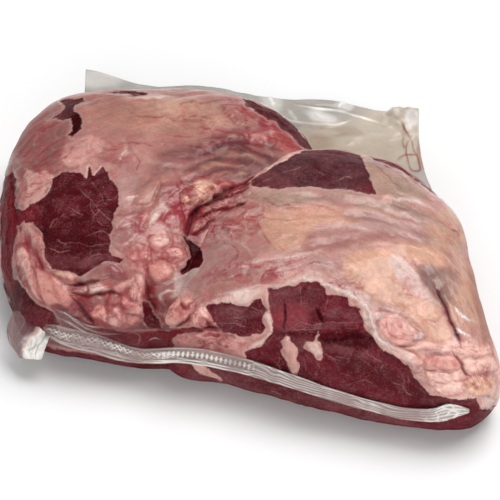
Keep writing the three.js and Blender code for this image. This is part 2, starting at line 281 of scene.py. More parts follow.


# All places below are pixels of the photograph, drawn one by one, and the tables go from the largest to
# the finest. A line or an outline is written as its corners, x,y and x,y and so on.
# washes: soft ellipses of tone: x, y, half width, half height, turn in degrees, tone, strength.
# patches: outlines filled with tone: how soft the edge is, tone, strength, corners.
# flush: where fine blood vessels show: x, y, half width, half height, turn, amount.
# crumple: where the fat is lobed and cracked, in the same way. dull: where it shines less.
# lumps: rounded lumps of fat: height in millimetres, tone, corners.
# folds: ridges and grooves: half width, height in millimetres, tone, strength, line. Some white folds are
# painted highlights, and some dark ones in grooves painted shade.
# veins: thin blood vessels and cracks. windows: outlines within which the lean is bare.
# slivers: fat that lies on the lean. threads: thin pale membranes on the lean.
LEFT = with_lines({
    "base": "rose",
    "washes": [
        (45, 150, 45, 40, 50, "dusky", 0.9),
        (80, 155, 26, 16, 40, "clay", 0.9),
        (95, 135, 28, 18, 20, "rose", 0.8),
        (150, 120, 62, 18, -4, "tan", 0.9),
        (196, 114, 40, 14, -6, "cream", 0.9),
        (160, 100, 40, 6, -4, "cream", 0.6),
        (165, 150, 40, 10, 0, "rose", 0.7),
        (118, 166, 40, 18, 12, "pink_fat", 0.4),
        (112, 150, 26, 14, 10, "rose", 0.7),
        (140, 137, 40, 12, 0, "rose", 0.8),
        (192, 116, 32, 10, -6, "cream", 0.6),
        (95, 168, 20, 8, 10, "pink_fat", 0.8),
        (128, 190, 10, 22, 12, "lavender", 0.8),
        (262, 122, 36, 18, -35, "rose", 0.8),
        (232, 112, 26, 12, -25, "tan", 0.5),
        (284, 140, 26, 12, -38, "rose_red", 0.9),
        (268, 120, 26, 10, -38, "rose_red", 0.5),
        (269, 125, 9, 6, -30, "crimson", 0.6),
        (216, 150, 50, 13, 8, "umber", 1.0),
        (226, 158, 44, 14, 8, "umber", 0.9),
        (190, 160, 40, 9, 15, "mauve", 0.6),
        (244, 162, 34, 17, 10, "umber", 1.0),
        (150, 195, 20, 16, 35, "tan", 0.7),
        (178, 218, 13, 24, 10, "red", 0.8),
        (158, 242, 34, 26, 0, "pink_fat", 0.9),
        (125, 232, 14, 18, 0, "mauve", 0.9),
        (125, 290, 50, 28, -10, "rose", 0.8),
        (112, 302, 44, 16, -10, "rose_red", 0.6),
        (160, 260, 30, 14, -10, "rose_red", 0.4),
        (105, 268, 24, 12, 0, "mauve", 0.9),
        (8, 210, 10, 46, 0, "side", 1.0),
        (10, 300, 16, 40, 0, "side", 1.0),
        (85, 324, 60, 12, -25, "lean_mauve", 0.9),
        (130, 338, 60, 10, -8, "blood", 1.0),
        (82, 310, 10, 13, -35, "blood", 0.9),
        (150, 305, 9, 28, -10, "blood", 1.0),
        (86, 306, 14, 5, 0, "liver", 0.7),
        (60, 345, 60, 12, -25, "lean_mauve", 0.9),
        (160, 315, 22, 22, 0, "blood_dark", 0.8),
    ],
    "patches": [
        (1.5, "dusky", 0.75, "47,120 67,119 72,123 67,135 58,152 43,163 27,173 15,172 12,165 18,148 "
         "33,132"),
        (1.2, "blush", 0.6, "25,168 40,172 53,178 52,186 45,194 34,203 26,208 23,212 23,196 25,185"),
        (2.0, "pink_fat", 0.7, "78,160 92,158 106,163 108,172 98,168 88,176 80,171"),
        (3.0, "tan", 0.6, "140,120 180,108 220,104 232,112 200,124 172,138 150,136"),
        (2.0, "blush", 0.5, "66,140 90,134 104,140 100,152 84,164 68,168 60,158"),
        (1.5, "clay", 0.4, "183,157 205,150 222,150 238,154 232,160 210,162 190,168"),
    ],
    "flush": [
        (262, 122, 44, 22, -35, 0.55),
        (205, 120, 30, 16, -10, 0.3),
        (160, 240, 40, 40, 0, 0.55),
        (120, 300, 50, 28, 0, 0.5),
        (190, 200, 40, 24, 25, 0.7),
        (100, 160, 30, 20, 0, 0.3),
        (50, 150, 40, 30, 45, 0.35),
        (15, 250, 18, 60, 0, 0.6),
        (38, 188, 18, 22, 0, 0.6),
        (34, 250, 14, 30, -20, 0.5),
    ],
    "crumple": [
        (160, 250, 34, 14, -10, 0.5),
        (127, 230, 14, 18, 0, 0.7),
        (110, 310, 40, 18, -10, 0.35),
        (262, 125, 44, 22, -35, 0.35),
        (180, 225, 16, 20, 0, 0.4),
        (220, 160, 50, 14, 15, 0.5),
        (50, 285, 24, 24, -45, 0.35),
    ],
    "dull": [
        (40, 140, 26, 56, 45, 0.7),
        (224, 160, 54, 22, 8, 0.85),
        (264, 128, 40, 16, -35, 0.5),
    ],
    "lumps": [
        (1.2, "clay", "138,189 145,182 153,178 160,179 162,184 158,192 154,200 147,205 138,209 133,207 "
         "134,198"),
        (1.0, "dusky", "161,185 177,182 181,190 171,198 159,203 157,196"),
        (2.2, "apricot", "182,193 188,187 198,180 208,179 216,182 215,189 208,196 201,202 192,206 "
         "184,205 179,201"),
        (1.4, "rose_red", "216,182 224,179 235,183 229,189 218,194 207,202 203,201 212,193"),
        (2.2, "chalk", "147,220 150,212 157,206 165,204 169,208 163,216 157,223 150,230 146,229"),
        (1.2, "salmon", "136,212 145,210 149,215 147,222 141,224 136,219"),
        (1.2, "crimson", "169,207 180,203 184,214 180,225 172,229 164,223 162,217"),
        (1.2, "lavender", "112,224 117,217 125,214 134,213 139,219 138,226 130,225 122,230 114,230"),
        (1.2, "ash", "114,232 122,231 130,227 138,228 143,233 138,240 130,246 121,250 114,246 111,239"),
        (1.6, "blush", "147,239 155,233 164,232 171,237 168,243 160,247 151,245"),
        (1.4, "rose", "168,230 178,234 183,242 177,246 170,243 170,236"),
        (1.5, "salmon", "130,258 137,249 145,246 149,250 146,257 139,263 133,265"),
        (1.5, "coral", "149,248 158,246 163,249 160,256 153,261 146,260"),
        (1.6, "salmon", "163,248 172,243 181,247 186,253 181,259 171,259 164,256"),
        (1.4, "mauve", "181,259 188,257 190,263 185,270 177,270 173,263"),
        (2.0, "coral", "147,266 153,261 162,259 169,265 173,273 169,280 161,284 154,281 149,274"),
        (1.2, "salmon", "133,266 141,263 146,267 146,274 139,275 132,272"),
        (1.8, "blush", "133,277 141,275 145,281 146,292 143,301 135,303 130,298 131,288"),
        (1.8, "salmon", "121,299 131,301 142,304 148,309 143,316 132,314 123,309"),
        (1.8, "chalk", "72,289 83,287 92,283 101,283 108,287 107,292 97,293 83,292 75,291"),
        (1.8, "salmon", "110,288 117,283 128,279 133,278 131,286 125,291 117,294 110,292"),
        (2.0, "liver", "75,282 83,272 93,267 107,264 117,266 124,272 123,278 112,277 101,278 90,283 "
         "82,284"),
        (1.6, "cream", "52,272 61,270 66,273 66,280 58,278"),
        (1.4, "blush", "66,273 72,272 76,276 72,281 66,280"),
        (1.2, "dusky", "82,296 93,293 103,295 105,302 98,306 88,303"),
        (1.2, "clay", "106,297 117,295 121,301 117,307 108,305"),
        (1.8, "salmon", "90,311 99,307 108,308 110,315 106,322 98,319 92,317"),
        (1.8, "blush", "110,308 117,309 124,315 127,321 120,326 110,323 108,316"),
        (1.4, "salmon", "127,316 134,314 143,317 141,323 133,326 127,322"),
        (1.6, "pink_fat", "24,226 30,223 38,229 42,238 44,248 46,258 50,268 46,274 38,262 33,250 28,240"),
        (1.8, "coral", "34,262 40,268 50,272 57,279 67,287 73,294 72,303 64,307 56,302 48,306 41,300 "
         "36,284"),
        (1.2, "blush", "17,250 22,242 27,254 32,272 38,290 42,303 33,292 24,276 17,264"),
        (1.0, "dusky", "155,286 165,282 172,283 173,290 167,297 160,302 155,297"),
        (1.2, "rose", "200,140 210,137 222,140 224,145 212,147 202,146"),
        (1.0, "tan", "224,134 236,132 248,136 246,141 234,142 225,140"),
        (1.0, "salmon", "250,132 262,132 270,138 262,142 252,139"),
        (1.0, "rose", "246,118 256,120 262,127 254,131 245,127"),
        (1.0, "clay", "224,106 234,104 242,109 244,117 234,117 226,113"),
        (1.0, "rose_red", "264,126 275,127 286,134 282,140 270,138"),
    ],
    "folds": [
        (2.8, -0.7, "umber", 1.0, "213,150 224,144 238,140 256,138"),
        (3.0, -0.8, "umber", 1.0, "178,160 192,155 208,152 222,152 250,153"),
        (2.2, 0.6, "cream", 0.45, "216,156 232,154 248,157 262,162 270,168"),
        (2.8, -0.7, "umber", 1.0, "180,176 192,168 208,163 222,158 238,158"),
        (2.6, 0.6, "cream", 0.6, "190,172 204,167 216,165 232,164 246,168"),
        (2.9, -0.7, "umber", 1.0, "176,188 188,179 206,173 226,170 250,168"),
        (2.6, 0.6, "tan", 0.6, "206,178 220,175 236,173 252,172"),
        (2.2, -0.6, "umber", 0.5, "143,188 152,177 166,169 181,175"),
        (2.2, -0.5, "umber", 0.5, "148,176 160,165 176,158 196,146"),
        (2.4, -0.5, "liver", 0.5, "196,150 212,141 230,131 246,124"),
        (2.0, -0.5, "liver", 0.5, "226,134 244,128 262,130 276,136"),
        (1.6, -0.4, "crimson", 0.5, "250,118 262,124 274,128 286,138"),
        (3.0, 0.5, "rose", 0.4, "152,172 166,162 182,155 204,146"),
        (2.6, -0.7, "umber", 0.7, "238,150 254,146 270,148 286,152"),
        (2.2, 0.7, "tan", 0.6, "248,148 262,150 280,156"),
        (2.6, -0.5, "dusky", 0.4, "122,162 127,150 128,135"),
        (1.8, 0.6, "blush", 0.4, "118,160 124,148 125,134"),
        # a painted highlight along the back edge
        (1.5, 0.9, "snow", 0.9, "122,100 136,99 150,97 170,97"),
        (1.4, -0.6, "blood", 0.6, "103,94 125,92 147,94"),
        (1.4, -0.5, "rose_red", 0.6, "130,104 145,102 158,99"),
        (1.4, 0.7, "snow", 0.5, "125,202 130,197 140,193"),
        (1.3, 0.8, "snow", 0.7, "152,217 156,211 162,207"),
        # a painted highlight on the lump, in a bright peach tone
        (1.6, 0.8, "peach_bright", 0.9, "205,191 208,187 212,184"),
        (1.5, 0.7, "snow", 0.7, "158,237 163,237 166,240"),
        (1.5, 0.7, "snow", 0.8, "93,288 98,288 103,289"),
        (1.6, -1.0, "red", 0.9, "88,284 90,288 89,292"),
        (3.6, -0.8, "crimson", 1.0, "26,231 29,243 34,255 42,266 51,275"),
        (2.0, 0.4, "rose_red", 0.7, "46,270 54,282 60,294 66,302"),
        (1.6, -1.6, "blood_dark", 1.0, "72,286 80,285 90,281 100,280"),
        (1.8, -1.0, "crimson", 1.0, "74,293 86,295 96,294 108,294 120,296"),
        (2.2, -1.6, "blood_dark", 0.9, "74,300 82,308 88,316 92,322"),
        (1.8, -0.8, "blood_dark", 0.9, "147,282 150,294 152,306 157,318"),
        (4.6, -2.6, "blood", 1.0, "146,280 149,294 151,304 156,316 158,326"),
        (1.8, -0.7, "red", 0.9, "147,264 148,276 150,284"),
        (1.4, -0.7, "crimson", 0.9, "108,290 110,300 107,308 110,318"),
        (1.4, -0.7, "crimson", 0.8, "128,284 126,294 119,300 122,310"),
        (1.4, -0.6, "red", 0.9, "145,262 152,258 162,258 172,262 182,260"),
        (1.3, -0.6, "red", 0.8, "146,248 149,256 146,264 134,266"),
        (1.1, 0.5, "snow", 0.8, "160,303 162,297 168,293 174,292"),
        (1.4, 0.5, "chalk", 0.5, "120,307 132,311 142,308 148,302"),
        (1.4, 0.6, "ash", 0.8, "117,313 130,316 144,312"),
        (1.4, 0.6, "tan", 0.8, "26,178 25,196 23,210"),
        (1.4, 0.7, "rose", 0.6, "18,174 20,186 20,202 22,214"),
        (1.2, 0.8, "red", 0.5, "14,216 16,232 14,250"),
        (0.9, 0.6, "red", 0.5, "5,190 6,226 7,258 12,292"),
        (0.9, 0.5, "red", 0.4, "10,180 10,215 11,246 18,280"),
        (1.4, -0.8, "lean_dark", 0.8, "13,178 12,210 18,230"),
        (1.6, 0.6, "blush", 0.5, "112,240 120,244 130,240 136,234"),
        (1.0, -0.6, "red", 0.6, "118,226 122,221 132,221 136,226 130,233"),
        (1.1, -0.5, "rose_red", 0.4, "157,152 162,158 168,152 163,146 157,152"),
    ],
    "veins": [
        "62,122 52,128 42,136 32,146 25,156",
        "67,133 58,140 48,147 38,156 33,163",
        "58,151 50,156 40,163 28,170",
        "44,126 34,136 24,148 18,158",
        "54,124 46,130 36,139",
        "25,186 33,183 42,183 51,179",
        "32,166 42,165 50,160",
        "60,160 68,155 72,147 84,141",
        "200,138 213,140 225,143",
        "222,107 225,112 233,117 247,122",
        "215,130 223,133 233,132 250,135",
        "200,127 210,128 215,123",
        "240,112 250,114 258,112",
        "262,116 266,124 276,126 284,132",
        "252,128 262,131 272,139 284,141 298,148",
        "236,124 244,128 250,127",
        "180,104 192,101 205,103 222,100",
        "170,118 182,120 196,116 210,118",
        "288,146 294,151 300,158",
        "243,142 252,145 262,144 270,148",
        "170,206 175,214 176,224",
        "180,204 186,212 184,222 188,230",
        "186,196 190,200 198,198 206,192",
        "152,255 160,252 168,254 176,251",
        "158,262 166,266 171,262",
        "27,228 26,238 28,250 31,262 36,275 40,290 43,302",
        "21,232 25,231 25,237",
        "100,312 103,318 110,318 116,313",
        "96,309 102,307 110,311",
        "136,280 138,290 136,300",
        "60,283 64,290 62,298",
        "48,290 54,294 60,302",
        "119,144 134,142 150,146",
        "133,152 139,160 137,168",
        "100,146 108,150 120,149",
        "176,136 190,137 204,133",
        "222,112 234,122 250,128 266,136 282,142",
        "236,108 244,114 258,120 270,124",
        "206,142 222,140 238,136 252,137 268,142",
        "190,146 206,148 224,150 240,147",
        "254,112 260,120 258,130 264,140",
        "274,128 280,138 292,146 302,152",
        "228,104 238,102 248,106",
        "128,110 140,116 156,118 170,114",
    ],
    "windows": [
        ("53,178 60,173 67,171 80,172 86,179 88,167 91,169 93,175 97,172 101,167 107,172 110,180 118,188 "
         "119,199 121,205 115,215 112,223 113,230 108,235 111,240 108,250 112,256 124,259 118,263 "
         "104,262 92,268 80,276 68,271 50,269 45,254 44,242 40,231 33,222 25,223 23,215 27,208 35,203 "
         "42,198 50,188"),
        ("47,120 56,115 65,107 58,100 70,99 84,97 85,101 75,106 74,110 81,115 83,121 82,129 72,137 "
         "67,135 73,126 71,120 58,119"),
        "100,93 117,90 133,91 147,93 142,96 120,94",
        ("240,95 256,99 270,107 283,116 296,128 308,140 314,150 304,150 296,141 286,132 277,124 266,117 "
         "256,112 247,106"),
        "296,133 304,137 318,152 310,152 302,144",
        ("0,180 12,172 17,178 15,205 19,214 17,232 13,250 14,275 22,286 32,298 43,309 30,314 12,306 "
         "4,290 0,250"),
        "143,300 150,304 158,320 160,330 150,329 142,320",
        "12,207 22,209 30,204 36,214 32,223 24,221 20,226 12,224",
        "8,302 30,304 43,306 54,312 60,322 56,336 40,344 8,344",
        "60,332 100,329 130,331 168,330 215,334 215,352 140,352 90,342",
        "40,345 100,356 140,362 200,366 260,380 260,420 20,420",
    ],
    "slivers": [
        ("24,224 30,222 38,228 43,239 45,254 50,268 62,280 73,292 72,303 62,308 52,303 42,303 33,290 "
         "22,270 16,258 17,244 22,236"),
        "17,250 21,244 22,262 30,282 40,300 36,302 24,286 17,268",
        "130,374 150,372 170,378 186,384 170,384 146,380",
    ],
    "threads": [
        "83,191 92,200 99,211 108,219 112,224",
        "93,183 99,191 105,203 113,208 118,206",
        "99,203 106,200 113,200",
        "92,200 90,208 94,216 92,224",
        "104,188 106,196 112,200 116,196",
        "70,207 77,212 84,215 93,217 99,212",
        "50,226 57,219 65,215 73,214",
        "88,236 96,232 103,232 110,234",
        "56,240 66,244 78,243 90,246 104,244",
        "96,218 101,224 108,226",
        "48,248 58,252 70,251",
        "106,210 112,213 116,212",
        "86,262 94,256 102,254 110,257",
    ],
    "lean_base": "burgundy",
    "lean_washes": [
        (60, 108, 22, 12, 30, "lean_brown", 1.0),
        (52, 118, 12, 6, 20, "lean_mauve", 0.5),
        (78, 124, 9, 16, 0, "lean_dark", 0.9),
        (66, 182, 16, 8, 0, "burgundy", 0.6),
        (104, 205, 14, 20, 0, "lean_red", 0.4),
        (72, 205, 14, 10, 10, "lean_red", 0.7),
        (75, 245, 30, 12, 0, "lean_dark", 0.5),
        (110, 212, 8, 6, 0, "lean_dark", 0.6),
        (33, 214, 10, 8, 0, "lean_dark", 0.9),
        (48, 232, 8, 8, 0, "lean_dark", 0.9),
        (112, 257, 12, 7, 0, "lean_red", 0.9),
        (95, 262, 20, 6, 10, "lean_mauve", 0.8),
        (60, 262, 18, 8, 10, "lean_mauve", 0.4),
        (8, 225, 13, 70, 0, "blood", 0.9),
        (30, 300, 20, 14, -30, "blood_dark", 0.9),
        (40, 322, 22, 16, 0, "lean_red", 0.9),
        (30, 214, 12, 10, 0, "blood", 0.8),
        (140, 338, 60, 10, 0, "blood", 0.9),
        (125, 345, 18, 6, 0, "lean_mauve", 0.7),
        (90, 362, 60, 10, -12, "lean_red", 0.9),
    ],
})

RIGHT = with_lines({
    "base": "pink_fat",
    "washes": [
        (215, 262, 42, 42, 0, "ash", 1.0),
        (236, 224, 30, 14, 20, "rose", 0.9),
        (256, 250, 22, 20, 0, "clay", 0.6),
        (225, 284, 36, 8, 15, "clay", 0.9),
        (285, 200, 38, 6, 0, "putty", 1.0),
        (340, 196, 36, 6, -4, "lavender", 0.9),
        (395, 178, 36, 24, -15, "putty", 1.0),
        (400, 212, 50, 8, -12, "putty", 0.8),
        (262, 222, 14, 14, 0, "clay", 0.5),
        (336, 240, 60, 9, 6, "clay", 0.9),
        (410, 226, 60, 14, -12, "lavender", 1.0),
        (350, 232, 40, 8, 0, "lavender", 0.6),
        # painted shade over the top of the deep fold
        (430, 282, 16, 14, -40, "dove", 1.0),
        (300, 262, 46, 10, 6, "lavender", 0.8),
        (300, 274, 50, 6, 6, "pink_fat", 0.7),
        (236, 296, 30, 6, 10, "chalk", 0.9),
        (452, 228, 24, 30, -60, "cream", 0.9),
        (462, 292, 18, 40, 15, "cream", 0.9),
        # painted shade beside the deep fold
        (446, 286, 16, 20, -30, "dove", 0.8),
        (479, 300, 8, 50, 12, "tan", 0.8),
        (440, 352, 60, 14, 0, "petal", 1.0),
        (434, 350, 30, 6, 0, "salmon", 0.5),
        (476, 354, 16, 9, 0, "coral", 0.7),
        (465, 376, 46, 30, -10, "petal", 1.0),
        (352, 292, 18, 5, -25, "chalk", 0.7),
        (377, 312, 14, 9, -50, "chalk", 0.6),
        (205, 318, 16, 12, 0, "salmon", 1.0),
        (218, 342, 28, 8, -10, "salmon", 1.0),
    ],
    "patches": [
        (4.0, "peach", 1.0, "268,211 297,208 330,210 355,215 361,220 347,226 330,223 320,222 313,229 "
         "307,240 297,248 280,250 271,243 264,233 262,220"),
        (4.5, "peach_bright", 1.0, "346,262 364,248 388,249 412,244 440,250 452,262 440,268 420,262 "
         "400,258 390,262 400,276 414,290 430,296 440,312 450,330 456,342 432,340 412,322 396,306 "
         "376,298 356,290 346,276"),
        (1.6, "chalk", 0.9, "386,260 394,254 401,257 411,270 425,286 440,306 430,302 416,294 402,284 "
         "392,272"),
        (1.4, "ash", 0.8, "196,243 205,228 218,226 229,232 233,243 238,254 229,265 222,274 213,287 "
         "200,292 186,290 186,272 196,262 203,256 202,248"),
        (1.5, "clay", 0.5, "222,274 236,268 250,266 262,270 250,278 232,284 216,288"),
        (2.0, "pink_fat", 0.6, "240,262 262,254 290,250 318,250 300,258 270,262 248,268"),
        (1.0, "putty", 0.8, "366,156 386,160 408,172 426,186 430,200 410,198 392,194 378,192 372,176"),
        (1.2, "rose", 0.8, "366,155 384,158 406,168 426,182 432,190 418,184 398,172 380,164"),
    ],
    "flush": [
        (230, 225, 40, 20, 20, 0.8),
        (260, 270, 50, 14, 10, 0.6),
        (205, 315, 40, 20, 0, 0.5),
        (455, 368, 60, 34, 0, 0.28),
        (400, 325, 30, 20, -30, 0.35),
        (425, 305, 40, 20, -45, 0.3),
        (350, 285, 20, 8, 0, 0.7),
        (220, 340, 30, 10, 0, 1.0),
        (460, 250, 16, 26, 0, 0.15),
    ],
    "crumple": [
        (455, 370, 44, 26, 0, 0.1),
        (215, 208, 26, 10, 25, 0.8),
        (200, 316, 26, 16, 0, 0.6),
        (370, 312, 14, 12, 0, 0.5),
        (354, 297, 16, 6, -25, 0.4),
        (404, 362, 26, 7, -40, 0.4),
        (220, 340, 30, 9, -10, 0.6),
        (225, 268, 22, 20, 0, 0.25),
    ],
    "dull": [
        (482, 300, 18, 64, 12, 1.0),
        (462, 230, 14, 40, -55, 0.6),
    ],
    "lumps": [
        (2.6, "blush", "377,320 384,312 396,310 407,318 416,327 420,336 411,344 396,347 383,341 376,331"),
        (1.4, "chalk", "364,305 376,309 388,311 378,320 372,330 367,325 363,317"),
        (1.4, "chalk", "372,331 378,338 388,345 380,346 371,338"),
        (1.4, "petal", "402,347 420,344 450,343 476,346 488,345 492,353 478,357 460,355 440,352 420,351 "
         "406,351"),
        (2.0, "petal", "389,350 402,350 415,355 421,364 416,371 405,363"),
        (1.2, "salmon", "421,363 432,356 448,356 460,362 459,369 448,372 436,371 426,370"),
        (1.2, "petal", "463,360 476,358 492,356 497,366 489,374 474,373 464,368"),
        (1.6, "petal", "424,374 434,372 446,372 457,371 461,377 467,385 459,393 444,394 431,389"),
        (1.2, "apricot", "466,378 480,375 494,376 499,386 493,395 478,397 466,391"),
        (1.8, "chalk", "477,400 485,396 495,398 492,406 483,410 478,406"),
        (2.4, "salmon", "160,316 167,307 177,300 187,298 194,302 196,308 189,314 184,319 176,324 "
         "167,326 161,323"),
        (2.4, "blush", "195,308 202,304 208,314 214,324 202,327 187,325 190,316"),
        (1.8, "salmon", "192,333 203,330 216,332 224,337 214,342 203,341 196,338"),
        (1.8, "blush", "217,342 226,338 234,341 240,348 231,350 219,348"),
        (1.4, "salmon", "177,338 186,335 190,339 187,344 180,343"),
        (1.8, "pink_fat", "283,337 289,335 293,344 297,352 297,362 300,373 294,375 289,362 282,349"),
        (2.0, "chalk", "306,345 312,342 317,339 323,347 322,357 316,358 307,352"),
        (1.4, "chalk", "244,346 256,341 267,332 272,331 264,343 252,350"),
        (0.9, "chalk", "263,298 266,298 268,314 272,328 268,330 265,316"),
    ],
    "folds": [
        (5.0, 0.6, "putty", 0.6, "258,191 300,189 345,192 375,198 412,209 440,216"),
        (3.2, -0.4, "dove", 0.5, "262,198 290,198 320,200 352,204 396,214 440,226"),
        (2.4, 0.3, "cream", 0.4, "300,204 340,207 384,215 420,224"),
        # a painted highlight along the ridge
        (1.6, 0.8, "snow", 0.6, "377,194 392,196 413,200 432,207"),
        (2.4, 0.8, "salmon", 0.7, "376,194 386,197 398,199"),
        (3.4, -0.6, "dove", 0.8, "384,202 405,207 428,215 445,224"),
        (2.6, 0.4, "chalk", 0.5, "368,206 396,211 422,219 446,230"),
        (2.8, -0.3, "dove", 0.5, "330,216 366,218 402,226 440,240"),
        (2.4, 0.25, "chalk", 0.35, "322,226 350,224 384,228 420,238 446,248"),
        (2.6, -0.25, "clay", 0.4, "314,232 345,229 384,234 424,246"),
        (2.2, 0.2, "pink_fat", 0.35, "310,238 340,235 370,238 400,243"),
        (2.6, -0.25, "clay", 0.4, "290,252 312,246 336,243 362,244"),
        (2.2, 0.5, "peach_bright", 0.5, "360,240 400,244 440,256 462,272"),
        (2.4, 0.4, "chalk", 0.5, "228,270 248,263 276,257 304,252 330,250"),
        (1.6, -0.5, "rose_red", 0.5, "244,268 270,262 296,257"),
        (2.2, 0.3, "chalk", 0.4, "262,272 290,266 318,262 340,262"),
        (1.4, 0.6, "chalk", 0.6, "206,226 218,224 230,230 234,240"),
        (1.4, 0.5, "chalk", 0.4, "236,240 246,246 254,256"),
        # the deep fold, with its painted grey shade
        (5.0, -1.3, "dove", 0.5, "414,262 424,272 434,284 441,298"),
        (3.0, -2.2, "dove", 0.8, "434,286 441,298 448,316 458,334 464,342"),
        (1.3, -1.2, "blood", 1.0, "436,290 442,302 448,315 454,327 461,340"),
        (3.0, 0.8, "cream", 0.5, "447,276 456,292 464,310 472,330"),
        # painted glints of the film beside the deep fold, and below them a painted glare in the white fat
        # tone
        (0.9, 0.4, "snow", 1.6, "453,305 463,313 474,321"),
        (0.9, 0.4, "snow", 1.6, "455,326 462,332 471,339"),
        (1.8, 0.4, "chalk", 0.9, "448,331 456,338 464,343"),
        (1.7, 0.4, "snow", 1.6, "413,336 418,335 423,333"),
        (2.4, 0.3, "salmon", 0.9, "391,338 400,335 410,333"),
        (1.4, 0.6, "snow", 0.8, "420,352 434,351 450,353"),
        (1.4, 0.6, "snow", 0.6, "430,378 444,375 456,376"),
        (1.2, 0.6, "snow", 0.5, "392,351 404,353 414,358"),
        (1.2, -0.8, "blood", 0.8, "457,356 461,363 460,369 464,374"),
        (1.3, -0.5, "red", 0.5, "398,347 410,345 424,343"),
        (1.2, -0.4, "rose_red", 0.3, "424,343 446,345 470,347 486,350"),
        (1.1, -0.5, "red", 0.7, "404,350 416,356 422,366 432,372 450,371"),
        (1.1, -0.5, "rose_red", 0.6, "430,380 446,384 462,380 474,372"),
        (1.1, -0.5, "red", 0.6, "464,392 472,384 478,374 476,362"),
        (1.1, -0.5, "rose_red", 0.5, "484,396 488,384 484,372 488,360"),
        (1.4, 0.5, "snow", 0.6, "438,388 450,390 462,388"),
        (1.4, 0.6, "chalk", 0.7, "378,306 392,309 410,317 424,328"),
        (1.4, -0.5, "red", 0.5, "376,318 380,330 392,344 408,346"),
        (2.4, 0.5, "chalk", 0.7, "207,304 220,300 236,298 250,299 262,294"),
        (1.4, 0.6, "snow", 0.4, "215,296 232,292 250,290 264,286"),
        (4.0, 0.7, "chalk", 0.95, "258,293 268,286 284,283 300,279 316,279 328,285 342,290 354,297 "
         "366,304 371,318 377,334 388,345 400,354 414,366 423,382 434,392"),
        (1.8, 0.5, "snow", 0.6, "300,280 316,280 328,286 342,291 354,298 365,305 370,318 376,334 "
         "387,346 399,355 413,367 423,382"),
        (2.0, -1.0, "blood", 0.9, "206,322 210,330 222,333"),
        (2.4, -1.2, "red", 0.9, "196,330 208,329 220,331"),
        (2.4, -0.8, "red", 0.9, "184,303 188,309 192,306"),
        (1.8, -1.4, "blood", 0.9, "188,316 184,322 176,328"),
        (1.2, -0.5, "mauve", 0.8, "372,162 382,170 394,181 402,190"),
        (1.2, -0.5, "mauve", 0.8, "376,160 396,168 416,182 428,190"),
        (1.2, -0.4, "mauve", 0.6, "386,164 404,178 412,190"),
        (1.4, 0.5, "cream", 0.6, "376,172 384,180 396,190 410,195"),
        (1.6, 0.6, "blush", 0.5, "430,206 444,216 456,230 462,246"),
        (1.6, -0.4, "clay", 0.3, "440,212 452,226 460,244 466,262"),
        (1.0, 0.6, "chalk", 0.9, "232,188 250,179 266,169 286,158 300,151"),
    ],
    "veins": [
        "263,203 263,214 258,225 262,232",
        "262,232 266,237 270,243",
        "276,244 279,246",
        "230,233 233,246 238,255 229,265 222,273",
        "204,228 216,225 230,231 241,233",
        "218,225 230,228 240,231",
        "227,279 240,275 252,275 262,272",
        "258,273 268,270 278,268 288,265",
        "208,286 211,281 214,279",
        "265,200 274,204 288,208 300,209",
        "262,216 272,219 290,219",
        "356,289 364,292 372,295 378,295",
        "400,294 406,295 411,296",
        "423,317 430,321 437,324",
        "397,305 404,311 411,316",
        "452,230 456,232 459,235",
        "462,266 466,269",
        "438,292 441,302 446,312 451,322 456,331",
        "437,292 441,303 447,314 453,325",
        "403,362 412,370 420,373",
        "426,371 436,373 446,373 456,370",
        "440,377 448,382 456,381",
        "470,382 476,386 474,392",
        "484,379 490,386 488,394",
        "470,350 480,350 490,349",
        "392,318 402,320 410,328",
        "386,324 390,334 398,339 408,340",
        "196,305 200,312 206,320",
        "168,311 176,308 182,303",
        "170,318 177,313 180,308",
        "205,336 212,338 222,343",
        "345,288 352,291 358,298",
        "330,282 340,286 346,289",
        "310,264 318,262 326,264",
        "284,205 300,203 318,206 330,209",
        "243,216 252,212 262,212",
        "368,155 388,161 410,173 430,187",
    ],
    "windows": [
        ("252,186 251,180 266,170 286,159 300,152 313,148 333,147 357,149 362,159 366,166 370,176 "
         "373,186 376,194 368,194 353,189 330,188 303,187 273,188 258,188"),
        ("204,307 214,304 226,302 238,304 248,307 254,301 262,297 267,310 268,328 260,333 242,336 "
         "221,331 212,319"),
        ("268,288 278,289 287,285 292,286 300,282 313,282 325,287 327,294 340,294 348,297 350,306 "
         "360,308 363,317 363,328 373,338 383,350 395,355 408,365 420,382 430,394 452,399 476,397 "
         "492,401 500,420 470,412 420,412 380,406 340,396 300,384 270,372 246,360 244,352 262,346 "
         "272,334 270,310"),
        "160,306 166,300 168,304 162,314",
        "366,150 380,150 396,155 412,164 428,176 446,195 437,198 428,189 416,180 403,172 389,165 374,160",
        "140,328 200,328 206,331 192,332 178,334 172,338 174,346 170,352 145,352",
        "160,350 200,354 240,360 262,366 300,378 340,392 380,402 420,408 456,404 490,402 500,440 150,440",
    ],
    "slivers": [
        ("286,335 290,337 291,341 294,344 296,349 297,354 296,359 299,366 299,373 295,376 292,371 "
         "289,366 286,361 283,355 281,350 283,346 280,342 284,339"),
        ("314,341 316,336 317,331 318,336 318,341 321,343 322,350 322,357 320,361 316,359 312,354 "
         "308,352 304,348 306,344 310,341"),
        ("262,298 265,295 267,304 265,312 269,319 267,326 273,331 268,338 260,341 257,346 249,347 "
         "245,352 240,347 248,343 255,338 262,335 266,328 263,318 265,309"),
        "476,399 484,395 494,398 492,408 482,411",
        "190,362 204,366 216,374 222,381 210,378 198,372",
    ],
    "threads": [
        "300,289 302,300 300,311",
        "326,289 327,300 325,309",
        "348,300 344,308 340,310",
        "210,308 216,314 226,318 240,318",
        "216,324 230,324 246,326 260,331",
        "250,306 259,310 265,322",
        "222,312 232,308 240,311",
        "292,328 300,323 316,325 332,322 348,323 361,321",
        "296,331 312,328 330,329 352,328",
        "324,354 332,358 338,364 340,372 350,375",
